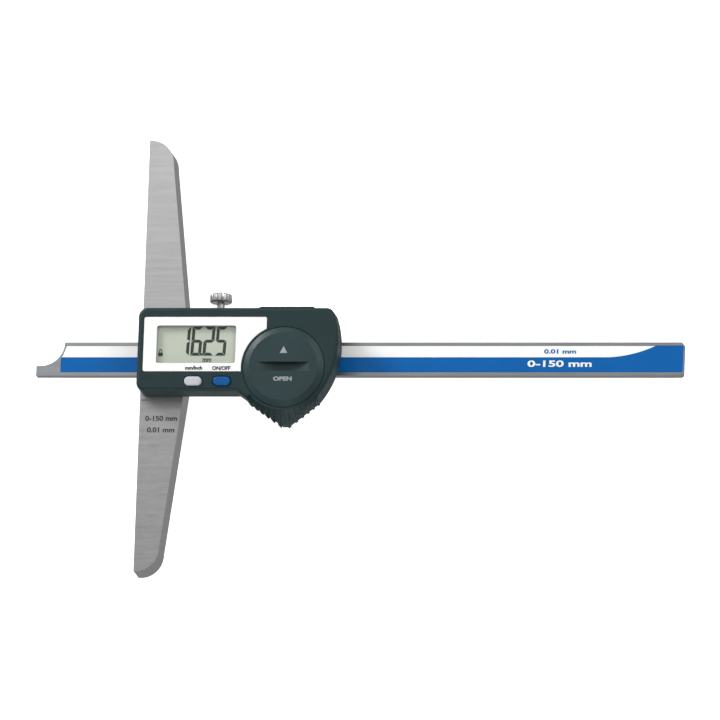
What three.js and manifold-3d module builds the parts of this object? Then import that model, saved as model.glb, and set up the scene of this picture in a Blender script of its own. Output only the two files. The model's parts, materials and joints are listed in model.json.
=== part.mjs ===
// A digital depth gauge that lies on its back. All sizes are in millimetres.
// +X runs back along the rod from the measuring face, +Y along the bridge, +Z out of the display.
// The origin is in the measuring face, behind the middle of the rod, in the plane of the back.
import * as THREE from "three";
import { mergeVertices } from "three/addons/utils/BufferGeometryUtils.js";
import Module from "manifold-3d";

const wasm = await Module();
wasm.setup();

// Clearances
const slideGap = 0.1; // rod to the channel's floor
const sideGap = 0.15; // rod to the channel's wall
const threadGap = 0.1; // screw to its threaded hole
const shankGap = 0.15; // screw to its plain hole
const fitGap = 0.2; // between pieces that drop into each other
const looseGap = 0.3; // round buttons, screw heads and turning lugs
const seatGap = 0.05; // between pieces that rest on each other
const cutOver = 1; // how far a cutter runs past the face it cuts

// Facets of round pieces
const screwSides = 10;
const headSides = 48;
const holeSides = 12;
const wellSides = 40; // everything around the battery's centre
const coinSides = 72; // the coin slot's floor
const outlineSteps = 8; // on each curve of the display unit's outline

// Rod
const rodLength = 222.4;
const rodReach = 37.1; // tip to the measuring face
const rodWidth = 11.6;
const rodThickness = 3.5;
const rodCorner = 1;
const tipHeight = 3.4;
const tipLand = 1.4; // straight stretch behind the tip's end face
const grooveStart = 8.4; // tip to the groove for the scale
const grooveSlant = 1.8; // the groove's upper corner is cut off by this much
const grooveMargin = 1.15; // steel left beside the groove
const grooveDepth = 0.8;
const stripThickness = 0.5;
const labelThickness = 0.2;
const stopInset = 3.2; // rod's back end to its stop screw
const stopScrew = { headRadius: 1.6, headHeight: 1.1, shankRadius: 0.9, length: 3.3 };

// Bridge and the frame behind it
const bridgeSpan = 150;
const bridgeWidth = 16.5; // width at the rod, before the hub widens it
const bridgeTaper = 0.119; // width lost for each millimetre of arm
const bridgeThickness = 11;
const bridgeCorner = 8;
const bridgeEndFlat = 0.8;
const hubLength = 16.9;
const hubMargin = 1.6; // hub's reach past the frame, above and below
const channelFloor = 2.2;
const gibRoom = 1.2; // channel's extra height above the rod
const upperWall = 3.2;
const lowerWall = 4.25;
const earStart = 3;
const earThickness = 2.8;
const frameTail = 12; // battery's centre to the frame's back end
const screwSlotWidth = 0.5;
const screwSink = 0.2; // screw heads lie this far inside the back
const bridgeScrewX = [6.5, 13];
const bridgeScrew = { headRadius: 2.2, headHeight: 1.2, shankRadius: 1.25, length: 10.4 };
const gibThickness = 0.8;
const gibScrewX = [38, 57];
const gibScrewRadius = 1;
const setScrewEnds = { bevel: 0.3, width: 0.4, depth: 0.6 }; // its slot's width and depth
const wiperLength = 2.2;
const wiperFront = 0.4; // measuring face to the front wiper
const wiperRear = 0.8; // rear wiper to the frame's end
const sensorGap = 0.3; // scale to the sensor board
const sensorThickness = 1;
const sensorEnds = [18, 58];
const headerSize = [10, 2.5];
const headerX = 32;
const sensorSide = 0.6; // sensor board to the channel's walls

// Lock screw
const lockX = 25.5;
const lockHeadRadius = 3.8;
const lockHeadLength = 3;
const lockFlutes = 12;
const lockFluteDepth = 0.35;
const lockNeck = 9.6; // frame to the underside of the head
const lockShankRadius = 1.25;
const lockPadRadius = 1.2;
const lockPadLength = 0.85;
const lockPadGap = 0.35; // pad to the gib when the lock is open

// Display unit: its heights are counted from its own back, which lies on the frame
const unitLeft = 0.1;
const unitHalfHeight = 14.5;
const unitCorner = 3;
const unitEdge = 1.2; // rounding around the front
const leastCorner = 0.5;
const backCorner = { drop: 2.2, run: 2 }; // corner between the top and the rounded back side
const baseThickness = 1.4;
const baseInset = 0.15;
const shellDepth = 8.6;
const wall = 1.2;
const frontWall = 1.6;
const boardStandoff = 1;
const boardThickness = 1;
const boardMargin = 0.9;
const bossRadius = 1.9;
const moduleScrewX = [31, 53];
const moduleScrew = { headRadius: 1.8, headHeight: 1.1, shankRadius: 1, length: 12.8 };
const baseScrew = { headRadius: 1.8, headHeight: 0.7, shankRadius: 1, length: 5.6 };
const postMargin = 2.3; // post's centre to the unit's outer edge
const postAway = { frame: 3, button: 5.5, tip: 1 }; // centres' further distances from these
const slimPostRadius = 1.4; // the post beside the buttons
const wallLap = 0.3; // posts and well run into the front wall by this much

// Display
const displayLeft = 6.7;
const displayRight = 33.9;
const displayBottom = -4.9;
const displayTop = 8.2;
const displayCorner = 0.8;
const windowLap = 0.8; // window's rim under the face plate
const windowThickness = 0.75;
const panelLap = 1.6; // liquid-crystal panel's rim around the visible field
const panelThickness = 1.75;
const zebraWidth = 1;
const zebraOffset = 0.4; // visible field to the strip's middle
const facePlateLeft = 2.2;
const facePlateBottom = -7.8;
const facePlateTop = 11.2;
const facePlateTail = 6.3; // battery's centre to the plate's right edge
const facePlateCorner = 0.7;
const facePlateThickness = 0.5;
const facePlateDepth = 0.6; // depth of its recess
const facePlateGap = 0.1; // around it in its recess

// Battery, its cover and the grip around it
const cellRadius = 10;
const cellThickness = 3.2;
const contactHeight = 0.5;
const underCell = { length: 10, width: 3 }; // the contact below the cell
const besideCell = { width: 4, thickness: 0.4, foot: 1.8, drop: 0.4 }; // the contact at its side
const skirtWall = 1.5;
const lugDepth = 0.9;
const lugHeight = 0.8;
const lugWidth = 5;
const lugCount = 3;
const lugTurn = 45; // degrees from closed to open
const coverLip = 0.4;
const coverFlange = 0.8;
const coverCrown = 1.2;
const crownInset = 2.1;
const skirtDepth = 2.3;
const ledgeThickness = 1.2;
const ledgeLap = 0.5; // ledge runs into the well's wall by this much
const coverWeb = 1.2; // cover's thickness under its flange
const sealSection = 0.6;
const coinSlotLength = 17.8;
const coinSlotWidth = 3.2;
const coinSlotDepth = 2;
const panelToWell = 0.5;
const batteryY = -6.3;
const sideCentreBack = 12.7; // battery's centre to the centre of the rounded back side
const sideCentreY = 2.5;
const sideMargin = 3.6; // battery well to the back side
const gripMargin = 4.2; // battery well to the grip's tip
const gripFlat = 2; // length of the blunt tip
const gripOffset = 0.9; // battery's centre to the tip's corner on the left
const gripSideDrop = 2.4; // how far below the unit's bottom edge the right flank starts
const gripRun = 15.1; // length of the left flank along X
const gripSlope = 1.2;
const gripLip = 1; // grip starts this far below the front
const gripHalfAngle = 50;
const coneReach = 4; // cone runs on past the grip's tip
const ribReach = 2; // ribs run on past the grip's tip
const ribRoot = 0.7; // ribs start this far outside the well's wall
const ribCount = 12;
const ribPitch = 8; // degrees
const ribGap = 10; // degrees between the two middle ribs
const ribWidth = 0.9;
const ribHeight = 0.7;
const ribProud = 0.6; // ribs stand out of the flanks by this much

// Buttons
const buttonX = [19.7, 29.6];
const buttonRise = 3.3; // unit's bottom edge to the buttons' centres
const buttonLength = 6;
const buttonWidth = 3.1;
const buttonProud = 0.6;
const buttonFlangeLength = 7.2;
const buttonFlangeThickness = 0.7;
const buttonStemRadius = 1;
const buttonTravelRoom = 0.5;
const domeRadius = 1.9;
const domeHeight = 0.5;
const domeShoulder = { rim: 0.1, share: 0.6, height: 0.4 };

// Data port
const portOffset = -0.5; // battery's centre to the port's centre
const portCoverLength = 20.4;
const portCoverWidth = 6;
const portCoverThickness = 1.2;
const portRecess = 0.6;
const portRamp = 2;
const portBevel = { end: 0.7, run: 0.8, drop: 0.3 };
const portLift = 0.1; // cover's back to the floor of its recess
const portSlot = { length: 10, width: 3.2 };
const portTongue = 1; // how deep the cover's tongue reaches in
const contactCount = 4;
const contactPitch = 2.2;
const contactWidth = 1;
const contactThickness = 0.3;
const contactRange = [0.7, 2.7]; // heights above the board
const contactBlockSize = { side: 0.4, depth: 1.9, height: 3.4 };

// Board parts: x, y and height above the board
const chip = { x: [13, 22], y: [-2, 6], height: 1 };
const crystal = { x: [25.5, 31.5], y: [0, 2.2], height: 1.6 };
const boardRight = 9.8; // battery's centre to the board's right edge
const boardLeft = 1.2; // shell's wall to the board's left edge

// Derived: rod and channel
const rodHalf = rodWidth / 2;
const rodTipX = -rodReach;
const rodEndX = rodTipX + rodLength;
const rodBack = channelFloor + slideGap;
const rodFront = rodBack + rodThickness;
const rodMiddleZ = (rodBack + rodFront) / 2;
const grooveFloor = rodFront - grooveDepth;
const grooveHalf = rodHalf - grooveMargin;
const channelTop = rodHalf + gibRoom;
const channelBottom = -rodHalf - sideGap;
const frameTop = channelTop + upperWall;
const frameBottom = channelBottom - lowerWall;
const upperScrewY = (channelTop + frameTop) / 2;
const lowerScrewY = (channelBottom + frameBottom) / 2;
const sensorBack = rodFront + sensorGap;
const sensorFront = sensorBack + sensorThickness;
const frameFront = bridgeThickness;
const frameStart = hubLength + slideGap;
const earBack = frameFront - earThickness;

// Derived: heights inside the display unit
const unitFront = baseThickness + shellDepth;
const frontInner = unitFront - frontWall;
const boardBack = baseThickness + boardStandoff;
const boardFront = boardBack + boardThickness;
const cellBack = boardFront + contactHeight;
const plateFloor = unitFront - facePlateDepth;
const postBottom = baseThickness + seatGap;
const portMiddle = (baseThickness + unitFront - unitEdge) / 2;
const buttonY = buttonRise - unitHalfHeight;

// Derived: battery well and cover
const skirtInner = cellRadius + 0.6;
const skirtRadius = skirtInner + skirtWall;
const ledgeRadius = skirtRadius + fitGap;
const lugRadius = ledgeRadius + lugDepth;
const wellRadius = lugRadius + looseGap;
const wellOuter = wellRadius + wall;
const coverRadius = wellRadius + coverLip;
const batteryX = displayRight + panelLap + panelToWell + wellOuter;
const flangeBack = unitFront - coverFlange;
const ribTop = unitFront - gripLip + ribHeight; // at the battery's ring
const ribDepth = ribHeight + wall / 2;
const ledgeFront = flangeBack - 0.1;
const ledgeBack = ledgeFront - ledgeThickness;
const frameEnd = batteryX + frameTail;

// Derived: outline of the display unit
const sideCentre = new THREE.Vector2(batteryX - sideCentreBack, sideCentreY);
const sideRadius = sideCentreBack + wellOuter + sideMargin;
const gripTipY = batteryY - wellOuter - gripMargin;
const gripCorners = [
  new THREE.Vector2(batteryX - gripOffset - gripRun, -unitHalfHeight),
  new THREE.Vector2(batteryX - gripOffset, gripTipY),
  new THREE.Vector2(batteryX - gripOffset + gripFlat, gripTipY),
  new THREE.Vector2(sideX(-unitHalfHeight - gripSideDrop, 0), -unitHalfHeight - gripSideDrop),
];
const postPlaces = [
  [frameStart + postAway.frame, unitHalfHeight - postMargin],
  [batteryX + boardRight, unitHalfHeight - postMargin],
  [buttonX[1] + postAway.button, postMargin - unitHalfHeight],
  [batteryX - gripOffset + gripFlat / 2, gripTipY + postMargin + postAway.tip],
];
const postRadii = [bossRadius, bossRadius, slimPostRadius, bossRadius];
const portX = batteryX + portOffset;
const contactFace = unitHalfHeight - wall - boardMargin + slideGap;

const finish = {
  rodSteel: { color: 0x9aa0a2, roughness: 0.3, metalness: 1 },
  bridgeSteel: { color: 0xa3a3a0, roughness: 0.38, metalness: 1 },
  screwSteel: { color: 0xb4b4b2, roughness: 0.32, metalness: 1 },
  spring: { color: 0xc2b280, roughness: 0.4, metalness: 1 },
  brass: { color: 0xb8933c, roughness: 0.4, metalness: 1 },
  black: { color: 0x232d2f, roughness: 0.5, metalness: 0 },
  white: { color: 0xeeeeec, roughness: 0.45, metalness: 0 },
  blue: { color: 0x1464a8, roughness: 0.45, metalness: 0 },
  paleGrey: { color: 0xd6d6da, roughness: 0.5, metalness: 0 },
  clear: { color: 0xe4ece8, roughness: 0.1, metalness: 0, transparent: true, opacity: 0.35 },
  panel: { color: 0xbcc3b6, roughness: 0.25, metalness: 0 },
  board: { color: 0x1f6b3a, roughness: 0.6, metalness: 0 },
  rubber: { color: 0x1b1b1c, roughness: 0.85, metalness: 0 },
  felt: { color: 0x3a3a38, roughness: 0.95, metalness: 0 },
};

// ---------------------------------------------------------------- shapes and solids

// A closed three.js geometry as a solid, with its faces turned out.
function solid(geometry) {
  const bare = new THREE.BufferGeometry();
  bare.setAttribute("position", geometry.getAttribute("position"));
  bare.setIndex(geometry.index);
  const merged = mergeVertices(bare);
  const corners = merged.index.array;
  const kept = [];
  for (let i = 0; i < corners.length; i += 3) {
    const [a, b, c] = corners.slice(i, i + 3);
    if (a !== b && b !== c && c !== a) kept.push(a, b, c);
  }
  const vertProperties = merged.getAttribute("position").array;
  const made = manifold(vertProperties, kept);
  return made.volume() < 0 ? manifold(vertProperties, kept.reverse()) : made;
}

function manifold(vertProperties, corners) {
  const mesh = new wasm.Mesh({ numProp: 3, vertProperties, triVerts: new Uint32Array(corners) });
  return new wasm.Manifold(mesh);
}

function polygon(points) {
  return new THREE.Shape(points.map(([x, y]) => new THREE.Vector2(x, y)));
}

// A rectangle with round corners, between two x values and two y values.
function roundedRectangle([left, right], [bottom, top], radius) {
  const shape = new THREE.Shape();
  shape.absarc(right - radius, bottom + radius, radius, -Math.PI / 2, 0);
  shape.absarc(right - radius, top - radius, radius, 0, Math.PI / 2);
  shape.absarc(left + radius, top - radius, radius, Math.PI / 2, Math.PI);
  shape.absarc(left + radius, bottom + radius, radius, Math.PI, Math.PI * 1.5);
  shape.closePath();
  return shape;
}

function extrude(shape, [back, front], curveSegments = 6) {
  const options = { depth: front - back, bevelEnabled: false, curveSegments };
  return solid(new THREE.ExtrudeGeometry(shape, options).translate(0, 0, back));
}

// The same, with the front edge rounded by the given radius.
function extrudeRounded(shape, [back, front], radius, curveSegments) {
  const options = {
    depth: front - back - radius,
    bevelThickness: radius,
    bevelSize: radius,
    bevelOffset: -radius,
    bevelSegments: 2,
    curveSegments,
  };
  const whole = solid(new THREE.ExtrudeGeometry(shape, options).translate(0, 0, back));
  const far = 2 * bridgeSpan;
  return whole.subtract(box([-far, far], [-far, far], [back - radius - cutOver, back]));
}

function box(x, y, z) {
  const geometry = new THREE.BoxGeometry(x[1] - x[0], y[1] - y[0], z[1] - z[0]);
  return solid(geometry.translate((x[0] + x[1]) / 2, (y[0] + y[1]) / 2, (z[0] + z[1]) / 2));
}

// A cylinder whose axis runs along Z through x, y.
function cylinder(x, y, radius, [back, front], sides = holeSides) {
  const geometry = new THREE.CylinderGeometry(radius, radius, front - back, sides);
  return solid(geometry.rotateX(Math.PI / 2).translate(x, y, (back + front) / 2));
}

// A cylinder whose axis runs along Y through x, z.
function crossCylinder(x, z, radius, [bottom, top], sides = holeSides) {
  const geometry = new THREE.CylinderGeometry(radius, radius, top - bottom, sides);
  return solid(geometry.translate(x, (bottom + top) / 2, z));
}

// A turned piece around the Z axis, from a profile of radius and height pairs.
function turned(profile, sides = wellSides) {
  const points = profile.map(([radius, height]) => new THREE.Vector2(radius, height));
  return solid(new THREE.LatheGeometry(points, sides).rotateX(Math.PI / 2));
}

// A ring of rectangular section around the Z axis.
function ring(inner, outer, [back, front]) {
  return turned([[inner, back], [outer, back], [outer, front], [inner, front], [inner, back]]);
}

function joined(solids) {
  return solids.reduce((sum, next) => sum.add(next));
}

function cut(body, cutters) {
  return cutters.reduce((left, cutter) => left.subtract(cutter), body);
}

function radians(degrees) {
  return THREE.MathUtils.degToRad(degrees);
}

// A mesh of its own, with its own material, added to a group.
function add(group, name, look, made, place = [0, 0, 0]) {
  const { vertProperties, triVerts } = made.getMesh();
  const geometry = new THREE.BufferGeometry();
  geometry.setAttribute("position", new THREE.BufferAttribute(vertProperties, 3));
  geometry.setIndex(new THREE.BufferAttribute(triVerts, 1));
  geometry.computeVertexNormals();
  const mesh = new THREE.Mesh(geometry, new THREE.MeshStandardMaterial(look));
  mesh.name = name;
  mesh.position.set(...place);
  group.add(mesh);
  return mesh;
}

// ---------------------------------------------------------------- screws

// A slotted screw: its head starts at the origin and its shank runs up the Z axis.
function screw({ headRadius, headHeight, shankRadius, length }) {
  const bevel = 0.2;
  const body = turned(
    [
      [0, 0],
      [headRadius - bevel, 0],
      [headRadius, bevel],
      [headRadius, headHeight],
      [shankRadius, headHeight],
      [shankRadius, length],
      [0, length],
    ],
    screwSides,
  );
  const across = [-screwSlotWidth / 2, screwSlotWidth / 2];
  return body.subtract(box([-headRadius, headRadius], across, [-cutOver, headHeight / 2]));
}

// Its hole from the back face: a wide stretch for the head and a narrow one for the shank.
function screwHole(x, y, { headRadius, headHeight, shankRadius }, [back, front], headSink) {
  const head = [back - cutOver, back + headSink + headHeight + seatGap];
  return joined([
    cylinder(x, y, headRadius + looseGap, head),
    cylinder(x, y, shankRadius + shankGap, [back - cutOver, front]),
  ]);
}

// A headless screw with a slot in its outer end, which is at the end of the Z axis.
function setScrew(radius, length) {
  const { bevel, width, depth } = setScrewEnds;
  const profile = [[0, 0], [radius - bevel, 0], [radius, bevel], [radius, length], [0, length]];
  const slot = box([-radius, radius], [-width / 2, width / 2], [length - depth, length + cutOver]);
  return turned(profile, screwSides).subtract(slot);
}

// ---------------------------------------------------------------- rod

function rodOutline() {
  const hollowRadius = rodWidth - tipHeight;
  const hollowX = rodTipX + tipLand;
  const shape = new THREE.Shape();
  shape.moveTo(rodTipX, -rodHalf);
  shape.lineTo(rodEndX - rodCorner, -rodHalf);
  shape.absarc(rodEndX - rodCorner, -rodHalf + rodCorner, rodCorner, -Math.PI / 2, 0);
  shape.absarc(rodEndX - rodCorner, rodHalf - rodCorner, rodCorner, 0, Math.PI / 2);
  shape.absarc(hollowX, rodHalf, hollowRadius, 0, -Math.PI / 2, true);
  shape.lineTo(rodTipX, tipHeight - rodHalf);
  shape.closePath();
  return shape;
}

// The outline of the groove, or of what lies in it when it is moved inwards.
function scaleOutline(inset) {
  const left = rodTipX + grooveStart + inset;
  const right = rodEndX - inset;
  const high = grooveHalf - inset;
  return polygon([[left, -high], [right, -high], [right, high], [left + grooveSlant, high], [left, 0]]);
}

function depthRod() {
  const stopHole = [rodBack - cutOver, rodBack + stopScrew.length - stopScrew.headHeight + fitGap];
  return cut(extrude(rodOutline(), [rodBack, rodFront], 10), [
    extrude(scaleOutline(0), [grooveFloor, rodFront + cutOver]),
    box([rodEndX - cutOver, rodEndX + cutOver], [-grooveHalf, grooveHalf], [grooveFloor, rodFront + cutOver]),
    cylinder(rodEndX - stopInset, 0, stopScrew.shankRadius + threadGap, stopHole),
  ]);
}

function scaleStrip() {
  return extrude(scaleOutline(fitGap), [grooveFloor, grooveFloor + stripThickness]);
}

function scaleLabel() {
  const back = grooveFloor + stripThickness;
  return extrude(scaleOutline(seatGap), [back, back + labelThickness]);
}

// ---------------------------------------------------------------- bridge and frame

// The width of the bridge at a distance from the rod.
function bridgeWidthAt(y) {
  return bridgeWidth - bridgeTaper * y;
}

function bridgeOutline() {
  const half = bridgeSpan / 2;
  const hubHalf = frameTop + hubMargin;
  const cornerY = half - bridgeCorner;
  const cornerRun = bridgeWidthAt(cornerY) - bridgeEndFlat;
  const shape = new THREE.Shape();
  shape.moveTo(0, -half);
  shape.lineTo(bridgeEndFlat, -half);
  shape.absellipse(bridgeEndFlat, -cornerY, cornerRun, bridgeCorner, -Math.PI / 2, 0);
  shape.lineTo(bridgeWidthAt(hubHalf), -hubHalf);
  shape.lineTo(hubLength, -hubHalf);
  shape.lineTo(hubLength, hubHalf);
  shape.lineTo(bridgeWidthAt(hubHalf), hubHalf);
  shape.absellipse(bridgeEndFlat, cornerY, cornerRun, bridgeCorner, 0, Math.PI / 2);
  shape.lineTo(0, half);
  shape.closePath();
  return shape;
}

function channelCut() {
  const along = [-rodReach, rodEndX];
  return box(along, [channelBottom, channelTop], [channelFloor, frameFront + cutOver]);
}

function bridge() {
  const earPocket = box(
    [earStart - fitGap, hubLength + cutOver],
    [frameBottom - fitGap, frameTop + fitGap],
    [earBack - fitGap, frameFront + cutOver],
  );
  const holes = bridgeScrewPlaces().map(([x, y]) =>
    screwHole(x, y, bridgeScrew, [0, frameFront], screwSink),
  );
  return cut(extrude(bridgeOutline(), [0, bridgeThickness], 8), [channelCut(), earPocket, ...holes]);
}

function bridgeScrewPlaces() {
  return bridgeScrewX.flatMap((x) => [[x, upperScrewY], [x, lowerScrewY]]);
}

function moduleScrewPlaces() {
  return moduleScrewX.flatMap((x) => [[x, upperScrewY], [x, lowerScrewY]]);
}

function sliderFrame() {
  const body = box([frameStart, frameEnd], [frameBottom, frameTop], [0, frameFront]);
  const ears = box([earStart, frameStart + cutOver], [frameBottom, frameTop], [earBack, frameFront]);
  const earHoles = bridgeScrewPlaces().map(([x, y]) =>
    cylinder(x, y, bridgeScrew.shankRadius + threadGap, [earBack - cutOver, frameFront + cutOver]),
  );
  const moduleHoles = moduleScrewPlaces().map(([x, y]) =>
    screwHole(x, y, moduleScrew, [0, frameFront + cutOver], screwSink),
  );
  const gibHoles = gibScrewX.map((x) =>
    crossCylinder(x, rodMiddleZ, gibScrewRadius + threadGap, [channelTop - cutOver, frameTop + cutOver]),
  );
  const lockHole = crossCylinder(lockX, rodMiddleZ, lockShankRadius + threadGap, [
    channelTop - cutOver,
    frameTop + cutOver,
  ]);
  return cut(body.add(ears), [channelCut(), ...earHoles, ...moduleHoles, ...gibHoles, lockHole]);
}

function gibStrip() {
  const bottom = rodHalf + fitGap;
  const along = [earStart + cutOver, frameEnd - cutOver];
  return box(along, [bottom, bottom + gibThickness], [rodBack + slideGap, rodFront + slideGap]);
}

// A felt block that fills the channel above the rod.
function rodWiper(start) {
  return box(
    [start, start + wiperLength],
    [channelBottom + fitGap, channelTop - fitGap],
    [sensorBack, frameFront - slideGap],
  );
}

function sensorBoard() {
  const high = [channelBottom + sensorSide, channelTop - sensorSide];
  return box(sensorEnds, high, [sensorBack, sensorFront]);
}

function headerArea(gap) {
  const [length, width] = headerSize;
  return [
    [headerX - length / 2 - gap, headerX + length / 2 + gap],
    [-width / 2 - gap, width / 2 + gap],
  ];
}

function sensorHeader() {
  return box(...headerArea(0), [sensorFront, frameFront + boardBack - seatGap]);
}

// ---------------------------------------------------------------- lock screw

function flutedOutline() {
  const points = [];
  for (let i = 0; i < lockFlutes * 4; i++) {
    const radius = i % 4 < 2 ? lockHeadRadius : lockHeadRadius - lockFluteDepth;
    const angle = ((i + 0.5) * Math.PI * 2) / (lockFlutes * 4);
    points.push([radius * Math.cos(angle), radius * Math.sin(angle)]);
  }
  return polygon(points);
}

// The shank starts at the origin and the head ends the piece, along the Z axis.
function lockScrew(shankLength) {
  const bevel = 0.35;
  const end = shankLength + lockHeadLength;
  const bevelled = turned([
    [0, shankLength],
    [lockHeadRadius - bevel, shankLength],
    [lockHeadRadius, shankLength + bevel],
    [lockHeadRadius, end - bevel],
    [lockHeadRadius - bevel, end],
    [0, end],
  ], headSides);
  const head = extrude(flutedOutline(), [shankLength, end]).intersect(bevelled);
  return head.add(cylinder(0, 0, lockShankRadius, [0, shankLength + cutOver]));
}

// ---------------------------------------------------------------- display unit: housing

// The x of the rounded back side at a height y, moved inwards.
function sideX(y, inset) {
  return sideCentre.x + Math.sqrt((sideRadius - inset) ** 2 - (y - sideCentre.y) ** 2);
}

// A line from a to b, moved to its left by inset, as a start and a direction.
function movedLine(a, b, inset) {
  const direction = b.clone().sub(a).normalize();
  const start = a.clone().add(new THREE.Vector2(-direction.y, direction.x).multiplyScalar(inset));
  return { start, direction };
}

function lineAtHeight({ start, direction }, y) {
  return start.clone().addScaledVector(direction, (y - start.y) / direction.y);
}

// Where the line meets the rounded back side, moved inwards.
function lineAtSide({ start, direction }, inset) {
  const from = start.clone().sub(sideCentre);
  const along = from.dot(direction);
  const reach = Math.sqrt(along ** 2 - from.lengthSq() + (sideRadius - inset) ** 2);
  return start.clone().addScaledVector(direction, reach - along);
}

// The unit's outline from the front, moved inwards: a block with a round back side and a grip.
function unitOutline(inset) {
  const left = unitLeft + inset;
  const top = unitHalfHeight - inset;
  const corner = Math.max(unitCorner - inset, leastCorner);
  const leftFlank = movedLine(gripCorners[0], gripCorners[1], inset);
  const rightFlank = movedLine(gripCorners[2], gripCorners[3], inset);
  const tipY = gripTipY + inset;
  const rightEnd = lineAtSide(rightFlank, inset);
  const cornerAngle = Math.asin((top - backCorner.drop - sideCentre.y) / (sideRadius - inset));
  const startAngle = rightEnd.clone().sub(sideCentre).angle() - Math.PI * 2;
  const topRight = sideX(top, inset);
  const shape = new THREE.Shape();
  shape.moveTo(left + corner, -top);
  for (const point of [lineAtHeight(leftFlank, -top), lineAtHeight(leftFlank, tipY)]) {
    shape.lineTo(point.x, point.y);
  }
  for (const point of [lineAtHeight(rightFlank, tipY), rightEnd]) {
    shape.lineTo(point.x, point.y);
  }
  shape.absarc(sideCentre.x, sideCentre.y, sideRadius - inset, startAngle, cornerAngle);
  shape.quadraticCurveTo(topRight, top, topRight - backCorner.run, top);
  shape.absarc(left + corner, top - corner, corner, Math.PI / 2, Math.PI);
  shape.absarc(left + corner, corner - top, corner, Math.PI, Math.PI * 1.5);
  shape.closePath();
  return shape;
}

function housingBase() {
  const [headerAlong, headerHigh] = headerArea(looseGap);
  const bosses = moduleScrewPlaces().map(([x, y]) =>
    cylinder(x, y, bossRadius, [baseThickness / 2, boardBack - seatGap]),
  );
  const threads = moduleScrewPlaces().map(([x, y]) =>
    cylinder(x, y, moduleScrew.shankRadius + threadGap, [-cutOver, boardFront]),
  );
  const holes = postPlaces.map(([x, y]) =>
    screwHole(x, y, baseScrew, [0, baseThickness + cutOver], seatGap),
  );
  const plate = extrude(unitOutline(baseInset), [0, baseThickness], outlineSteps);
  const window = box(headerAlong, headerHigh, [-cutOver, boardBack]);
  return cut(joined([plate, ...bosses]), [window, ...threads, ...holes]);
}

// The cone that slopes the grip down from the battery's ring, lowered by the given depth.
function gripCone(lowered) {
  const reach = wellOuter + gripMargin + coneReach;
  const high = unitFront - gripLip - lowered;
  const outer = high - gripSlope * (reach - wellOuter);
  const over = unitFront + cutOver;
  const start = wellOuter + seatGap;
  const profile = [[start, high], [reach, outer], [reach, over], [start, over], [start, high]];
  const half = radians(gripHalfAngle);
  const spread = 2 * reach * Math.sin(half);
  const depth = 2 * reach * Math.cos(half);
  const slice = polygon([[0, 0], [-spread, -depth], [spread, -depth]]);
  const wedge = extrude(slice, [outer - cutOver, over + cutOver]);
  return turned(profile).intersect(wedge).translate([batteryX, batteryY, 0]);
}

// One raised rib that runs out from the battery's ring at an angle and follows the cone.
// Its underside is at the two given heights, at the ring and at its outer end.
function gripRib(angle, underRing, underEnd) {
  const reach = wellOuter + gripMargin + ribReach;
  const start = wellRadius + ribRoot;
  const low = ribTop - gripSlope * (reach - wellOuter);
  const side = polygon([
    [start, ribTop - ribDepth],
    [wellOuter, underRing],
    [reach, underEnd],
    [reach, low],
    [wellOuter, ribTop],
    [start, ribTop],
  ]);
  const options = { depth: ribWidth, bevelEnabled: false };
  const geometry = new THREE.ExtrudeGeometry(side, options).translate(0, 0, -ribWidth / 2);
  return solid(geometry.rotateX(Math.PI / 2).rotateZ(angle).translate(batteryX, batteryY, 0));
}

// Half of the ribs lie on each side of the grip's middle.
function ribAngles() {
  const angles = [];
  for (let i = 0; i < ribCount / 2; i++) {
    const away = radians(ribGap / 2 + i * ribPitch);
    angles.push(-Math.PI / 2 - away, -Math.PI / 2 + away);
  }
  return angles;
}

// The ribs lie on the cone and run on down the grip's flanks.
function gripRibs() {
  const depth = [baseThickness, unitFront];
  const fall = gripSlope * (gripMargin + ribReach);
  const under = ribTop - ribDepth;
  const room = extrude(unitOutline(-ribProud), depth, outlineSteps);
  const skin = room.subtract(extrude(unitOutline(wall / 2), depth, outlineSteps));
  const flat = joined(ribAngles().map((angle) => gripRib(angle, under, under - fall)));
  const tall = joined(ribAngles().map((angle) => gripRib(angle, baseThickness, baseThickness)));
  return flat.intersect(room).add(tall.intersect(skin));
}

function facePlateOutline(inset) {
  const along = [facePlateLeft + inset, batteryX - facePlateTail - inset];
  const high = [facePlateBottom + inset, facePlateTop - inset];
  return roundedRectangle(along, high, facePlateCorner);
}

// The display's visible field, grown by a margin.
function displayOutline(margin) {
  const along = [displayLeft - margin, displayRight + margin];
  const high = [displayBottom - margin, displayTop + margin];
  return roundedRectangle(along, high, displayCorner);
}

function pill(length, width) {
  return roundedRectangle([-length / 2, length / 2], [-width / 2, width / 2], width / 2 - 0.01);
}

function posts() {
  return postPlaces.map(([x, y], i) => cylinder(x, y, postRadii[i], [postBottom, frontInner + wallLap]));
}

function postHoles() {
  const depth = [postBottom - cutOver, baseScrew.length + seatGap + looseGap];
  return postPlaces.map(([x, y]) => cylinder(x, y, baseScrew.shankRadius + threadGap, depth));
}

// The battery's round well with the ledge that the cover's lugs hook under, around the origin.
function batteryWell() {
  const wellWall = ring(wellRadius, wellOuter, [boardFront + fitGap, frontInner + wallLap]);
  return wellWall.add(ring(ledgeRadius, wellRadius + ledgeLap, [ledgeBack, ledgeFront - fitGap]));
}

// What the battery's cover needs cut out of the front, around the origin.
function coverCuts() {
  const seat = cylinder(0, 0, coverRadius + fitGap, [ledgeFront, unitFront + cutOver], wellSides);
  const throat = cylinder(0, 0, ledgeRadius, [ledgeBack - cutOver, unitFront + cutOver], wellSides);
  const notches = lugAngles().map((angle) => {
    const reach = lugRadius + fitGap;
    const half = lugWidth / 2 + looseGap;
    const notch = box([0, reach], [-half, half], [ledgeBack - cutOver, ledgeFront + cutOver]);
    return notch.rotate([0, 0, angle + lugTurn]);
  });
  return [seat, throat, ...notches];
}

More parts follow.
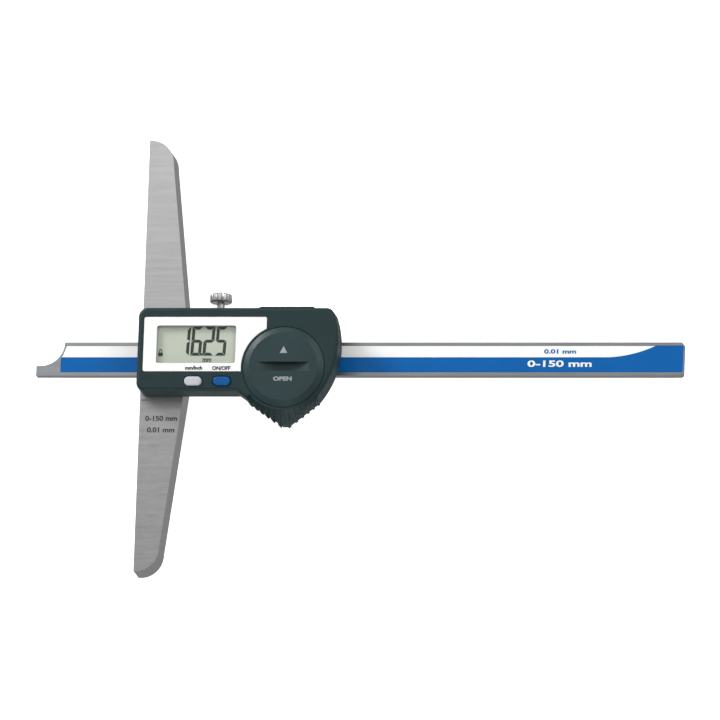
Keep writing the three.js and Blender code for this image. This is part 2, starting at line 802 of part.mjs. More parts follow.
function lugAngles() {
  return Array.from({ length: lugCount }, (_, i) => 90 + (i * 360) / lugCount);
}

function portBox(length, width, high, gap) {
  const along = [portX - length / 2 - gap, portX + length / 2 + gap];
  return box(along, high, [portMiddle - width / 2 - gap, portMiddle + width / 2 + gap]);
}

function portCuts() {
  const outside = unitHalfHeight + cutOver;
  const inside = unitHalfHeight - wall - cutOver / 2;
  return [
    portBox(portCoverLength, portCoverWidth, [unitHalfHeight - portRecess, outside], fitGap),
    portBox(portSlot.length, portSlot.width, [inside, outside], 0),
  ];
}

function housingShell() {
  const away = [batteryX, batteryY, 0];
  const depth = [baseThickness, unitFront];
  const block = extrudeRounded(unitOutline(0), depth, unitEdge, outlineSteps);
  const cavity = extrude(unitOutline(wall), [baseThickness - cutOver, frontInner], outlineSteps);
  const hollow = cavity.subtract(gripCone(frontWall));
  const body = joined([block.subtract(hollow), batteryWell().translate(away), ...posts()]);
  const plateRecess = extrude(facePlateOutline(-facePlateGap), [plateFloor, unitFront + cutOver]);
  const ringRadius = wellOuter - facePlateGap;
  const ringKept = cylinder(batteryX, batteryY, ringRadius, [0, unitFront * 2], wellSides);
  const platePocket = plateRecess.subtract(ringKept);
  const windowHole = extrude(displayOutline(windowLap + fitGap), [frontInner - cutOver, unitFront]);
  const buttonHoles = buttonX.map((x) =>
    extrude(pill(buttonLength + 2 * looseGap, buttonWidth + 2 * looseGap), [
      frontInner - cutOver,
      unitFront + cutOver,
    ]).translate([x, buttonY, 0]),
  );
  const coverHoles = coverCuts().map((cutter) => cutter.translate(away));
  const cutters = [platePocket, windowHole, ...buttonHoles, ...coverHoles, ...portCuts(), ...postHoles()];
  return cut(body, [gripCone(0), ...cutters]).add(gripRibs());
}

// ---------------------------------------------------------------- display unit: front pieces

function facePlate() {
  const plate = extrude(facePlateOutline(0), [plateFloor, plateFloor + facePlateThickness]);
  const through = [plateFloor - cutOver, unitFront + cutOver];
  return cut(plate, [
    cylinder(batteryX, batteryY, wellOuter, through, wellSides),
    extrude(displayOutline(0), through),
  ]);
}

function displayWindow() {
  const front = plateFloor - seatGap;
  return extrude(displayOutline(windowLap), [front - windowThickness, front]);
}

function lcdPanel() {
  const front = frontInner - seatGap;
  const along = [displayLeft - panelLap, displayRight + panelLap];
  return box(along, [displayBottom - panelLap, displayTop + panelLap], [front - panelThickness, front]);
}

// A rubber connector strip between the board and the panel, along the panel's edge at y.
function zebraStrip(y) {
  const along = [displayLeft - windowLap, displayRight + windowLap];
  const front = frontInner - seatGap - panelThickness;
  return box(along, [y - zebraWidth / 2, y + zebraWidth / 2], [boardFront, front]);
}

// A button around the origin: a pill with a flange behind the front and a stem down to its dome.
function button() {
  const flangeFront = frontInner - looseGap;
  const flangeBack = flangeFront - buttonFlangeThickness;
  const half = buttonFlangeLength / 2;
  return joined([
    extrude(pill(buttonLength, buttonWidth), [flangeBack, unitFront + buttonProud]),
    box([-half, half], [-buttonWidth / 2, buttonWidth / 2], [flangeBack, flangeFront]),
    cylinder(0, 0, buttonStemRadius, [boardFront + domeHeight + buttonTravelRoom, flangeFront]),
  ]);
}

function buttonDome() {
  const { rim, share, height } = domeShoulder;
  const profile = [[0, 0], [domeRadius, 0], [domeRadius, rim], [domeRadius * share, height], [0, domeHeight]];
  return turned(profile, holeSides);
}

// ---------------------------------------------------------------- display unit: board and battery

function circuitBoard() {
  const half = unitHalfHeight - wall - boardMargin;
  const depth = [boardBack, boardFront];
  const area = box([unitLeft + wall + boardLeft, batteryX + boardRight], [-half, half], depth);
  const disc = cylinder(batteryX, batteryY, ledgeRadius, depth, wellSides);
  const clear = postPlaces.map(([x, y]) => cylinder(x, y, bossRadius + looseGap, [0, unitFront]));
  return cut(area.add(disc), clear);
}

function boardPart({ x, y, height }) {
  return box(x, y, [boardFront, boardFront + height]);
}

function batteryCell() {
  const bevel = 0.3;
  const front = cellBack + cellThickness;
  return turned([
    [0, cellBack],
    [cellRadius - 2 * bevel, cellBack],
    [cellRadius - bevel, cellBack + bevel],
    [cellRadius, cellBack + bevel],
    [cellRadius, front - bevel],
    [cellRadius - bevel, front],
    [0, front],
  ]);
}

function negativeContact() {
  const { length, width } = underCell;
  return box([-length / 2, length / 2], [-width / 2, width / 2], [boardFront, cellBack - seatGap]);
}

// A spring that stands beside the cell, with a foot on the board.
function positiveContact() {
  const near = cellRadius + fitGap;
  const { width, thickness, foot, drop } = besideCell;
  const across = [-width / 2, width / 2];
  const spring = box([near, near + thickness], across, [boardFront, cellBack + cellThickness - drop]);
  return spring.add(box([near, near + foot], across, [boardFront, boardFront + contactThickness]));
}

// The cover around the origin: crown, flange, a skirt with a seal groove, and bayonet lugs.
function batteryCover() {
  const skirtBack = flangeBack - skirtDepth;
  const crown = unitFront + coverCrown;
  const underside = flangeBack - coverWeb;
  const sealFront = flangeBack - looseGap;
  const sealBack = sealFront - sealSection - fitGap;
  const body = turned([
    [0, underside],
    [skirtInner, underside],
    [skirtInner, skirtBack],
    [skirtRadius, skirtBack],
    [skirtRadius, sealBack],
    [skirtRadius - sealSection, sealBack],
    [skirtRadius - sealSection, sealFront],
    [skirtRadius, sealFront],
    [skirtRadius, flangeBack],
    [coverRadius, flangeBack],
    [coverRadius, unitFront],
    [coverRadius - crownInset, crown],
    [0, crown],
  ]);
  const lugBand = ring(skirtRadius - fitGap, lugRadius, [skirtBack, skirtBack + lugHeight]);
  const lugs = lugAngles().map((angle) => {
    const blank = box([0, lugRadius], [-lugWidth / 2, lugWidth / 2], [skirtBack, skirtBack + lugHeight]);
    return blank.rotate([0, 0, angle]).intersect(lugBand);
  });
  return joined([body, ...lugs]).subtract(coinSlot(crown));
}

// A slot across the crown with the round floor that a coin fits.
function coinSlot(crown) {
  const radius = (coinSlotLength ** 2 / 4 + coinSlotDepth ** 2) / (2 * coinSlotDepth);
  const high = [-coinSlotWidth / 2, coinSlotWidth / 2];
  return crossCylinder(0, crown - coinSlotDepth + radius, radius, high, coinSides);
}

// The round seal in the cover's groove, with its section a hexagon.
function coverSeal() {
  const middle = flangeBack - looseGap - (sealSection + fitGap) / 2;
  const centre = skirtRadius - sealSection / 2 + seatGap;
  const profile = [];
  for (let i = 0; i <= 6; i++) {
    const angle = (i * Math.PI) / 3;
    const radius = sealSection / 2;
    profile.push([centre + radius * Math.cos(angle), middle + radius * Math.sin(angle)]);
  }
  profile[6] = profile[0];
  return turned(profile);
}

// ---------------------------------------------------------------- data port

function portCover() {
  const back = unitHalfHeight - portRecess + portLift;
  const front = back + portCoverThickness;
  const half = portCoverLength / 2;
  const outline = polygon([
    [portX - half, back],
    [portX + half, back],
    [portX + half, front - portBevel.drop],
    [portX + half - portBevel.run, front],
    [portX - half + portRamp, front],
    [portX - half, front - portBevel.end],
  ]);
  const plate = extrude(outline, [portMiddle - portCoverWidth / 2, portMiddle + portCoverWidth / 2]);
  const tongue = portBox(portSlot.length, portSlot.width, [back - portTongue, back + looseGap], -looseGap);
  return plate.add(tongue);
}

function contactBlock() {
  const { side, depth, height } = contactBlockSize;
  const half = portSlot.length / 2 - side;
  const along = [portX - half, portX + half];
  return box(along, [contactFace - depth, contactFace], [boardFront, boardFront + height]);
}

function portContact(index) {
  const x = portX + (index - (contactCount - 1) / 2) * contactPitch;
  const along = [x - contactWidth / 2, x + contactWidth / 2];
  const high = contactRange.map((height) => boardFront + height);
  return box(along, [contactFace, contactFace + contactThickness], high);
}

// ---------------------------------------------------------------- assembly

function addRod(gauge) {
  const rod = new THREE.Group();
  const stopPlace = [rodEndX - stopInset, 0, rodBack - stopScrew.headHeight - seatGap];
  add(rod, "depth_rod", finish.rodSteel, depthRod());
  add(rod, "scale_strip", finish.brass, scaleStrip());
  add(rod, "scale_label", finish.blue, scaleLabel());
  add(rod, "rod_stop_screw", finish.screwSteel, screw(stopScrew), stopPlace);
  gauge.add(rod);
}

function addFrame(gauge) {
  const frame = new THREE.Group();
  add(frame, "bridge", finish.bridgeSteel, bridge());
  add(frame, "slider_frame", finish.bridgeSteel, sliderFrame());
  bridgeScrewPlaces().forEach(([x, y], i) => {
    add(frame, `bridge_screw_${i + 1}`, finish.screwSteel, screw(bridgeScrew), [x, y, screwSink]);
  });
  moduleScrewPlaces().forEach(([x, y], i) => {
    add(frame, `module_screw_${i + 1}`, finish.screwSteel, screw(moduleScrew), [x, y, screwSink]);
  });
  add(frame, "gib_strip", finish.brass, gibStrip());
  const gibTop = rodHalf + fitGap + gibThickness;
  gibScrewX.forEach((x, i) => {
    const place = [x, gibTop + slideGap, rodMiddleZ];
    const length = frameTop - gibTop - looseGap;
    const made = setScrew(gibScrewRadius, length);
    const piece = add(frame, `gib_screw_${i + 1}`, finish.screwSteel, made, place);
    piece.rotation.x = -Math.PI / 2;
  });
  add(frame, "rod_wiper_front", finish.felt, rodWiper(wiperFront));
  add(frame, "rod_wiper_rear", finish.felt, rodWiper(frameEnd - wiperLength - wiperRear));
  add(frame, "sensor_board", finish.board, sensorBoard());
  add(frame, "sensor_header", finish.black, sensorHeader());
  gauge.add(frame);
}

function addLock(gauge) {
  const lock = new THREE.Group();
  const gibTop = rodHalf + fitGap + gibThickness;
  const padEnd = lockPadGap + lockPadLength;
  lock.position.set(lockX, gibTop, rodMiddleZ);
  lock.rotation.x = -Math.PI / 2;
  const shank = frameTop + lockNeck - gibTop - padEnd - seatGap;
  add(lock, "lock_pad", finish.brass, cylinder(0, 0, lockPadRadius, [lockPadGap, padEnd]));
  add(lock, "lock_screw", finish.screwSteel, lockScrew(shank), [0, 0, padEnd + seatGap]);
  gauge.add(lock);
}

function addHousing(unit) {
  add(unit, "housing_base", finish.black, housingBase());
  add(unit, "housing_shell", finish.black, housingShell());
  postPlaces.forEach(([x, y], i) => {
    add(unit, `base_screw_${i + 1}`, finish.screwSteel, screw(baseScrew), [x, y, seatGap]);
  });
  add(unit, "face_plate", finish.white, facePlate());
  add(unit, "display_window", finish.clear, displayWindow());
  add(unit, "data_port_cover", finish.black, portCover());
}

function addElectronics(unit) {
  add(unit, "lcd_panel", finish.panel, lcdPanel());
  add(unit, "zebra_strip_upper", finish.rubber, zebraStrip(displayTop + zebraOffset));
  add(unit, "zebra_strip_lower", finish.rubber, zebraStrip(displayBottom - zebraOffset));
  add(unit, "circuit_board", finish.board, circuitBoard());
  add(unit, "controller_chip", finish.black, boardPart(chip));
  add(unit, "quartz_crystal", finish.screwSteel, boardPart(crystal));
  add(unit, "data_contact_block", finish.black, contactBlock());
  for (let i = 0; i < contactCount; i++) {
    add(unit, `data_contact_${i + 1}`, finish.brass, portContact(i));
  }
}

function addBattery(unit) {
  const battery = new THREE.Group();
  battery.position.set(batteryX, batteryY, 0);
  add(battery, "battery_cell", finish.screwSteel, batteryCell());
  add(battery, "battery_contact_negative", finish.spring, negativeContact());
  add(battery, "battery_contact_positive", finish.spring, positiveContact());
  add(battery, "battery_cover", finish.black, batteryCover());
  add(battery, "cover_seal", finish.rubber, coverSeal());
  unit.add(battery);
}

function addButtons(unit) {
  const kinds = [["units", finish.paleGrey], ["power", finish.blue]];
  kinds.forEach(([kind, look], i) => {
    add(unit, `${kind}_button`, look, button(), [buttonX[i], buttonY, 0]);
    add(unit, `button_dome_${kind}`, finish.spring, buttonDome(), [buttonX[i], buttonY, boardFront]);
  });
}

const gauge = new THREE.Group();
addRod(gauge);
addFrame(gauge);
addLock(gauge);
const unit = new THREE.Group();
unit.position.z = frameFront;
addHousing(unit);
addElectronics(unit);
addBattery(unit);
addButtons(unit);
gauge.add(unit);

export default gauge;
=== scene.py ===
"""Looks for a digital depth gauge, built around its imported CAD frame.

Pieces are drawn in millimetres in the frame's own axes: +X back along the rod from the
measuring face, +Y along the bridge towards the lock screw, +Z out of the display.
"""

import json
import math

import bmesh
import bpy
from mathutils import Matrix, Vector

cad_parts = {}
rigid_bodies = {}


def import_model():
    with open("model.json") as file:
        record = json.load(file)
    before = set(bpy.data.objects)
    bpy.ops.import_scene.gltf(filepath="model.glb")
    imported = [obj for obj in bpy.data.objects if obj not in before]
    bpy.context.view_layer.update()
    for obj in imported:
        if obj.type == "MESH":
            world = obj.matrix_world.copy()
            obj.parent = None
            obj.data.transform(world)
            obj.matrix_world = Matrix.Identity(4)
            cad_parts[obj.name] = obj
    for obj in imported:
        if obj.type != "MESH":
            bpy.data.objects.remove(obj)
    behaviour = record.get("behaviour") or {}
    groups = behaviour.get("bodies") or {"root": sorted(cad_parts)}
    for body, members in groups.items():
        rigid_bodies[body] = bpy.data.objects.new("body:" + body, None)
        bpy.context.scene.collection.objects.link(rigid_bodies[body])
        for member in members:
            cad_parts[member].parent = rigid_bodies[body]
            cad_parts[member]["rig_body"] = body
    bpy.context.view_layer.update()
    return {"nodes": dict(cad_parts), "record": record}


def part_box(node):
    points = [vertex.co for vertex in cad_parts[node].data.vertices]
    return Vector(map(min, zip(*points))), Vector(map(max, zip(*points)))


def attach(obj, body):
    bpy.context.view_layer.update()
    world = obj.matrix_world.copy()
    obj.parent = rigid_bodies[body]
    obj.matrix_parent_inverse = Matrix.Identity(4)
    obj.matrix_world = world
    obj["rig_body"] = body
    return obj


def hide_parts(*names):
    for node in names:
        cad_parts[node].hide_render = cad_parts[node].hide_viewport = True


MM = 0.001
OVER = 1.0  # how far a cutter runs past the face it cuts
WELD = 0.002  # points closer than this are merged
SHARP_ANGLE = 48  # edges that turn by more degrees than this stay sharp

# Rod and its label
TIP_HEIGHT = 3.4
TIP_LAND = 1.4
ROD_CORNER = 1.0
GROOVE_START = 8.4  # tip to the groove
GROOVE_SLANT = 1.8
GROOVE_MARGIN = 1.15
GROOVE_DEPTH = 0.8
STOP_HOLE = 1.05
STOP_HOLE_DEPTH = 2.5
LABEL_GAP = 0.05
LABEL_SPLIT = 0.6  # the y where the blue print meets the white
PRINT = 0.03  # thickness of printed ink
LETTER_WEIGHT = 0.08
WHITE_PRINT = (0.88, 0.885, 0.88)
BLUE_PRINT = (0.002, 0.105, 0.36)
SWOOSH_START = 27.0  # from the rod's back end to where the blue print starts to rise
SWOOSH_END = 9.6

# Bridge and frame
BRIDGE_WIDTH = 16.5
BRIDGE_TAPER = 0.119
BRIDGE_CORNER = 8.0
BRIDGE_END_FLAT = 0.8
HUB_HALF = 11.8
SHADOW_LINE = 15.6  # from the rod's centre to the fine groove beside the display unit
SHADOW_WIDTH = 0.5
SHADOW_DEPTH = 0.6
CHANNEL = (-5.95, 7.0)
CHANNEL_FLOOR = 2.2
EAR_START = 2.8
EAR_BACK = 8.0
EAR_GAP = 0.2
FRAME_GAP = 0.1  # between the bridge and the frame behind it
SCREW_SIDES = 48
SCREW_CHAMFER = 0.2
BORE_GAP = 0.15  # around a screw's shank
SEAT_GAP = 0.3  # around a screw's head
SEAT_SINK = 0.05
THREAD_GAP = 0.1
SCREWS = {
    "bridge_screw": {"head": 1.2, "shank": 1.25, "slot": 0.5},
    "module_screw": {"head": 1.1, "shank": 1.0, "slot": 0.45},
    "base_screw": {"head": 0.7, "shank": 1.0, "slot": 0.4},
    "rod_stop_screw": {"head": 1.1, "shank": 0.9, "slot": 0.4},
}

# Lock screw
LOCK_FLUTES = 12
FLUTE_DEPTH = 0.4
LOCK_HEAD = 3.0
LOCK_SHANK = 1.25
LOCK_BEVEL = 0.4
FLUTE_STEPS = 16
DIMPLE_RADIUS = 1.4
DIMPLE_DEPTH = 0.25
DIMPLE_FLARE = 0.5

# Display unit
UNIT_LEFT = 0.1
UNIT_HALF = 14.5
UNIT_CORNER = 3.0
UNIT_EDGE = 1.2
LEAST_CORNER = 0.5
SIDE_CORNER_DROP = 2.2  # the curve from the round side to the top edge
SIDE_CORNER_RUN = 2
BASE_INSET = 0.15
WALL = 1.2
FRONT_WALL = 1.6
PLATE_DEPTH = 0.6
PLATE_X = (2.2, 44.4)
PLATE_Y = (-7.8, 11.2)
PLATE_CORNER = 0.7
PLATE_GAP = 0.1
DISPLAY_X = (6.7, 33.9)
DISPLAY_Y = (-4.9, 8.2)
DISPLAY_CORNER = 0.8
WINDOW_LEDGE = 1.0
BUTTON_HOLE = 0.3
BUTTON_LENGTH = 6.0
BUTTON_CROWN = ((0, 0.5), (0.04, 0.3), (0.16, 0.12), (0.4, 0.03), (0.8, 0))  # inset and drop
BUTTON_FLANGE = 2.5
BUTTON_FLANGE_HEIGHT = 0.7
STEM_RADIUS = 1.0
PORT_MIDDLE = 16.1
PORT_COVER = (20.4, 6.0)
PORT_SLOT = (10.0, 3.2)
PORT_GAP = 0.2
PORT_DEPTH = 1.7

# Battery well, cover and grip
CELL_X = 50.7
CELL_Y = -6.3
WELL_OUTER = 14.7
WELL_INNER = 13.5
WELL_BACK = 14.6
WELL_LAP = 0.3
WELL_SIDES = 144
SEAT_RADIUS = 14.1
THROAT_RADIUS = 12.3
COVER_RADIUS = 13.9
COVER_NECK = 12.1
COVER_HOLLOW = 10.6
COVER_FLANGE = 0.8
COVER_WEB = 1.2
COVER_SIDES = 160
CROWN_INSET = 2.1
CROWN_HEIGHT = 1.2
CROWN_FLAT = COVER_HOLLOW * 0.3
LUGS = 3
LUG_RADII = (12.0, 13.2)
LUG_HEIGHT = 0.8
LUG_HALF_ANGLE = 11
LEDGE = (18.9, 20.1)
SIDE_BACK = 12.7
SIDE_Y = 2.5
SIDE_MARGIN = 3.6
GRIP_MARGIN = 4.2
GRIP_FLAT = 2.0
GRIP_DROP = 2.4
GRIP_RUN = 15.1
GRIP_OFFSET = 0.9
GRIP_SLOPE = 1.2
GRIP_LIP = 1.0
GRIP_HALF_ANGLE = 50
CONE_REACH = 22.9
CONE_GAP = 0.05
RIB_REACH = 20.9
RIB_COUNT = 12
RIB_PITCH = 8
RIB_GAP = 10
RIB_WIDTH = 0.9
RIB_HEIGHT = 0.7
RIB_PROUD = 0.6
RIB_ROOT = 0.7  # from the well's inner face to where a rib starts
COIN_LENGTH = 17.8
COIN_WIDTH = 3.2
COIN_DEPTH = 2.0
WORD_DROP = 4.4  # from the cell's centre to the word on the cover
POINTER = ((-1.3, 4.6), (1.3, 4.6), (0, 7))  # from the cell's centre

# Display figures
DIGIT_HEIGHT = 10.1
DIGIT_WIDTH = 3.7
DIGIT_PITCH = 4.2
DIGIT_STROKE = 1.05
DIGIT_GAP = 0.08
DIGIT_SLANT = math.tan(math.radians(3))
DIGIT_LEFT = 13.95
DIGIT_BOTTOM = -2.0
POINT_RADIUS = 0.42
PADLOCK_X = (7.15, 8.75)
PADLOCK_Y = (-2.2, -0.9)
SHACKLE_MIDDLE = (7.95, -0.85)
SHACKLE_OUTER = (0.6, 1.2)
SHACKLE_INNER = (0.32, 0.85)
SEGMENTS = {"1": "bc", "2": "abged", "5": "afgcd", "6": "afgecd"}

# Camera and light
CAMERA_TARGET = (75.2, -1.57, 11.0)
CAMERA_AZIMUTH = -54.06
CAMERA_ELEVATION = 74.09
CAMERA_LENS = 1500.0
CAMERA_SENSOR = 36.0
VIEW_WIDTH = 244.2
CLIP_END = 40  # in metres
BRIGHT_SIDE = (-0.5, 0.5, 0.7)
# brightness of the studio, from the side away from BRIGHT_SIDE (0) to that side (1)
WORLD_STRENGTHS = {
    0.0: 0.45,
    0.4: 0.42,
    0.47: 0.18,
    0.54: 0.15,
    0.62: 0.34,
    0.75: 0.5,
    0.9: 0.58,
    1.0: 0.58,
}
# place and size in metres, power in watts
LIGHTS = {
    "key": {"place": (-1.25, 1.25, 0.8), "size": 0.7, "power": 34},
    "fill": {"place": (1.2, 0.9, 1.2), "size": 1.4, "power": 14},
    "front": {"place": (0.1, -1.5, 0.5), "size": 0.8, "power": 9},
    "overhead": {"place": (-0.04, 0.13, 0.3), "size": 0.09, "power": 0.05},
}
FLOOR_HALF = 3000
FLOOR_Z = (-20, -0.4)


# ------------------------------------------------------------------ outlines


def arc(centre, radius, start, end, steps=12):
    """Points on a circle or, with two radii, on an ellipse. The angles are in degrees."""
    across, along = radius if isinstance(radius, tuple) else (radius, radius)
    points = []
    for i in range(steps + 1):
        angle = math.radians(start + (end - start) * i / steps)
        points.append((centre[0] + across * math.cos(angle), centre[1] + along * math.sin(angle)))
    return points


def circle(centre, radius, sides=SCREW_SIDES):
    return arc(centre, radius, 0, 360, sides)[:-1]


def rounded(x, y, radius, steps=8):
    """A rectangle with round corners, between two x values and two y values."""
    points = arc((x[1] - radius, y[0] + radius), radius, -90, 0, steps)
    points += arc((x[1] - radius, y[1] - radius), radius, 0, 90, steps)
    points += arc((x[0] + radius, y[1] - radius), radius, 90, 180, steps)
    points += arc((x[0] + radius, y[0] + radius), radius, 180, 270, steps)
    return points


def pill(centre, length, width, steps=16):
    half = length / 2
    x = (centre[0] - half, centre[0] + half)
    return rounded(x, (centre[1] - width / 2, centre[1] + width / 2), width / 2 - 0.01, steps)


def rectangle(x, y):
    return [(x[0], y[0]), (x[1], y[0]), (x[1], y[1]), (x[0], y[1])]


# ------------------------------------------------------------------ solids


def mesh_object(name, points, faces):
    mesh = bpy.data.meshes.new(name)
    mesh.from_pydata([[value * MM for value in point] for point in points], [], faces)
    piece = bpy.data.objects.new(name, mesh)
    bpy.context.scene.collection.objects.link(piece)
    return piece


def loft(name, loops, closed=False):
    """Sides between equal loops of points, which turn left seen from the end, and flat ends."""
    count = len(loops[0])
    faces = []
    for row in range(len(loops) if closed else len(loops) - 1):
        here = row * count
        after = (row + 1) % len(loops) * count
        for i in range(count):
            j = (i + 1) % count
            faces.append((here + i, here + j, after + j, after + i))
    if not closed:
        faces.append(tuple(reversed(range(count))))
        faces.append(tuple(range((len(loops) - 1) * count, len(loops) * count)))
    return mesh_object(name, [point for loop in loops for point in loop], faces)


def level(outline, z):
    return [(x, y, z) for x, y in outline]


def prism(outline, z, name="cutter"):
    return loft(name, [level(outline, z[0]), level(outline, z[1])])


def block(x, y, z, name="cutter"):
    return prism(rectangle(x, y), z, name)


def turned(rings, centre=(0, 0), sides=96, closed=False, name="cutter"):
    """A turned solid around an axis along Z, from pairs of radius and height."""
    loops = [level(circle(centre, radius, sides), z) for radius, z in rings]
    return loft(name, loops, closed)


def along_y(piece, x, z):
    """Lays a piece built around the Z axis along +Y, with its axis through x and z."""
    turn = Matrix.Rotation(-math.pi / 2, 4, "X")
    piece.data.transform(Matrix.Translation((x * MM, 0, z * MM)) @ turn)
    return piece


def settle(piece):
    """Writes the piece's modifiers into its mesh."""
    graph = bpy.context.evaluated_depsgraph_get()
    made = bpy.data.meshes.new_from_object(piece.evaluated_get(graph))
    piece.modifiers.clear()
    piece.data = made
    return piece


def combine(piece, others, operation):
    for other in others:
        step = piece.modifiers.new("step", "BOOLEAN")
        step.operation = operation
        step.solver = "MANIFOLD"
        step.object = other
    settle(piece)
    for other in others:
        bpy.data.objects.remove(other)
    return piece


def cut(piece, cutters):
    return combine(piece, cutters, "DIFFERENCE")


def join(piece, others):
    return combine(piece, others, "UNION")


def overlap(piece, other):
    return combine(piece, [other], "INTERSECT")


def flatten(piece, angle=0.2):
    """Merges triangles that lie in one plane into larger faces."""
    mesh = bmesh.new()
    mesh.from_mesh(piece.data)
    bmesh.ops.remove_doubles(mesh, verts=mesh.verts, dist=WELD * MM)
    bmesh.ops.dissolve_limit(mesh, angle_limit=math.radians(angle), verts=mesh.verts, edges=mesh.edges)
    mesh.to_mesh(piece.data)
    mesh.free()
    return piece


def soften(piece, width=0.15, segments=2, angle=32):
    """Rounds the edges and shades the surface smooth between them."""
    flatten(piece)
    bevel = piece.modifiers.new("bevel", "BEVEL")
    bevel.width = width * MM
    bevel.segments = segments
    bevel.limit_method = "ANGLE"
    bevel.angle_limit = math.radians(angle)
    settle(piece)
    piece.data.shade_smooth()
    piece.data.set_sharp_from_angle(angle=math.radians(SHARP_ANGLE))
    piece.modifiers.new("normals", "WEIGHTED_NORMAL").keep_sharp = True
    return settle(piece)


def refined(node, width=0.12):
    """A softened copy of a CAD node."""
    piece = bpy.data.objects.new(node + "_soft", frame["nodes"][node].data.copy())
    bpy.context.scene.collection.objects.link(piece)
    return soften(piece, width)


def fit(piece, name, body, slot, *nodes, look=None):
    """Names the piece, gives it its material and lets it ride on its body in place of CAD nodes."""
    piece.name = name
    piece.data.name = name
    piece.data.materials.clear()
    piece.data.materials.append(look or looks[slot])
    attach(piece, body)
    if nodes:
        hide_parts(*nodes)
    return piece


def corners(node):
    """The lowest and highest corners of a CAD node, in millimetres."""
    low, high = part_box(node)
    return low / MM, high / MM


# ------------------------------------------------------------------ materials


COLOUR_A, COLOUR_B, COLOUR_OUT = 6, 7, 2  # a mix node's colour sockets


class Look:
    """A material under construction. Its textures are laid out in millimetres."""

    def __init__(self, name, **constants):
        self.material = bpy.data.materials.new(name)
        self.material.use_nodes = True
        self.tree = self.material.node_tree
        self.shader = self.tree.nodes["Principled BSDF"]
        for socket, value in constants.items():
            self.shader.inputs[socket.replace("_", " ")].default_value = value

    def node(self, kind, **settings):
        made = self.tree.nodes.new("ShaderNode" + kind)
        for key, value in settings.items():
            setattr(made, key, value)
        return made

    def link(self, source, target):
        self.tree.links.new(source, target)

    def place(self, stretch=(1, 1, 1)):
        where = self.node("TexCoord")
        scale = self.node("Mapping")
        scale.inputs["Scale"].default_value = [value / MM for value in stretch]
        self.link(where.outputs["Object"], scale.inputs["Vector"])
        return scale.outputs["Vector"]

    def noise(self, size, stretch=(1, 1, 1), detail=3.0):
        """Noise with features of about size millimetres, longer where the stretch is small."""
        made = self.node("TexNoise")
        made.inputs["Scale"].default_value = 1 / size
        made.inputs["Detail"].default_value = detail
        self.link(self.place(stretch), made.inputs["Vector"])
        return made.outputs["Fac"]

    def cells(self, size, stretch=(1, 1, 1)):
        made = self.node("TexVoronoi")
        made.inputs["Scale"].default_value = 1 / size
        self.link(self.place(stretch), made.inputs["Vector"])
        return made.outputs["Distance"]

    def blend(self, factor, low, high, edges=(0.3, 0.7)):
        """A colour that runs from low to high as the factor passes between the edges."""
        ramp = self.node("ValToRGB")
        ramp.color_ramp.elements[0].position = edges[0]
        ramp.color_ramp.elements[1].position = edges[1]
        ramp.color_ramp.elements[0].color = (*low, 1)
        ramp.color_ramp.elements[1].color = (*high, 1)
        self.link(factor, ramp.inputs["Fac"])
        return ramp.outputs["Color"]

    def mixed(self, first, second, factor=None, share=0.5):
        made = self.node("Mix", data_type="RGBA")
        made.inputs["Factor"].default_value = share
        if factor is not None:
            self.link(factor, made.inputs["Factor"])
        self.link(first, made.inputs[COLOUR_A])
        self.link(second, made.inputs[COLOUR_B])
        return made.outputs[COLOUR_OUT]

    def ranged(self, factor, low, high):
        made = self.node("MapRange")
        made.inputs["From Min"].default_value = 0.25
        made.inputs["From Max"].default_value = 0.75
        made.inputs["To Min"].default_value = low
        made.inputs["To Max"].default_value = high
        self.link(factor, made.inputs["Value"])
        return made.outputs["Result"]

    def colour(self, source):
        self.link(source, self.shader.inputs["Base Color"])

    def roughness(self, factor, low, high):
        self.link(self.ranged(factor, low, high), self.shader.inputs["Roughness"])

    def bump(self, layers):
        """Bumps on top of each other, from pairs of height texture and depth in millimetres."""
        before = None
        for height, depth in layers:
            made = self.node("Bump")
            made.inputs["Strength"].default_value = 1.0
            made.inputs["Distance"].default_value = depth * MM
            self.link(height, made.inputs["Height"])
            if before:
                self.link(before, made.inputs["Normal"])
            before = made.outputs["Normal"]
        self.link(before, self.shader.inputs["Normal"])


def shade(colour, share):
    return tuple(value * share for value in colour)


def brushed(name, colour, grain, roughness=(0.3, 0.45), spread=0.16, depth=0.004):
    """Steel with fine ground lines along the axis that has the small stretch."""
    look = Look(name, Metallic=1.0)
    lines = look.noise(0.22, grain, 4.0)
    streaks = look.noise(1.4, grain, 2.0)
    clouds = look.noise(14.0)
    fine = look.blend(lines, shade(colour, 1 - spread), shade(colour, 1 + spread))
    broad = look.blend(streaks, shade(colour, 1 - spread), shade(colour, 1 + spread))
    both = look.mixed(fine, broad)
    patches = look.blend(clouds, shade(colour, 0.93), shade(colour, 1.06))
    look.colour(look.mixed(both, patches, share=0.35))
    look.roughness(lines, *roughness)
    look.bump([(lines, depth), (streaks, depth)])
    return look.material


def metal(name, colour, roughness=(0.25, 0.4), grit=0.3, depth=0.003):
    """Turned, blasted or plated metal with no direction."""
    look = Look(name, Metallic=1.0)
    grain = look.noise(grit)
    clouds = look.noise(3.0)
    look.colour(look.blend(clouds, shade(colour, 0.88), shade(colour, 1.1)))
    look.roughness(grain, *roughness)
    look.bump([(grain, depth)])
    return look.material


def plastic(name, colour, roughness=(0.42, 0.58), grit=0.35, depth=0.012, specular=0.4):
    """Moulded plastic with a fine spark-eroded grain and faint handling marks."""
    look = Look(name, Specular_IOR_Level=specular)
    grain = look.cells(grit)
    wear = look.noise(4.0, detail=5.0)
    clouds = look.noise(11.0)
    look.colour(look.blend(clouds, shade(colour, 0.9), shade(colour, 1.1)))
    look.roughness(wear, *roughness)
    look.bump([(grain, depth), (look.noise(grit * 3), depth)])
    return look.material


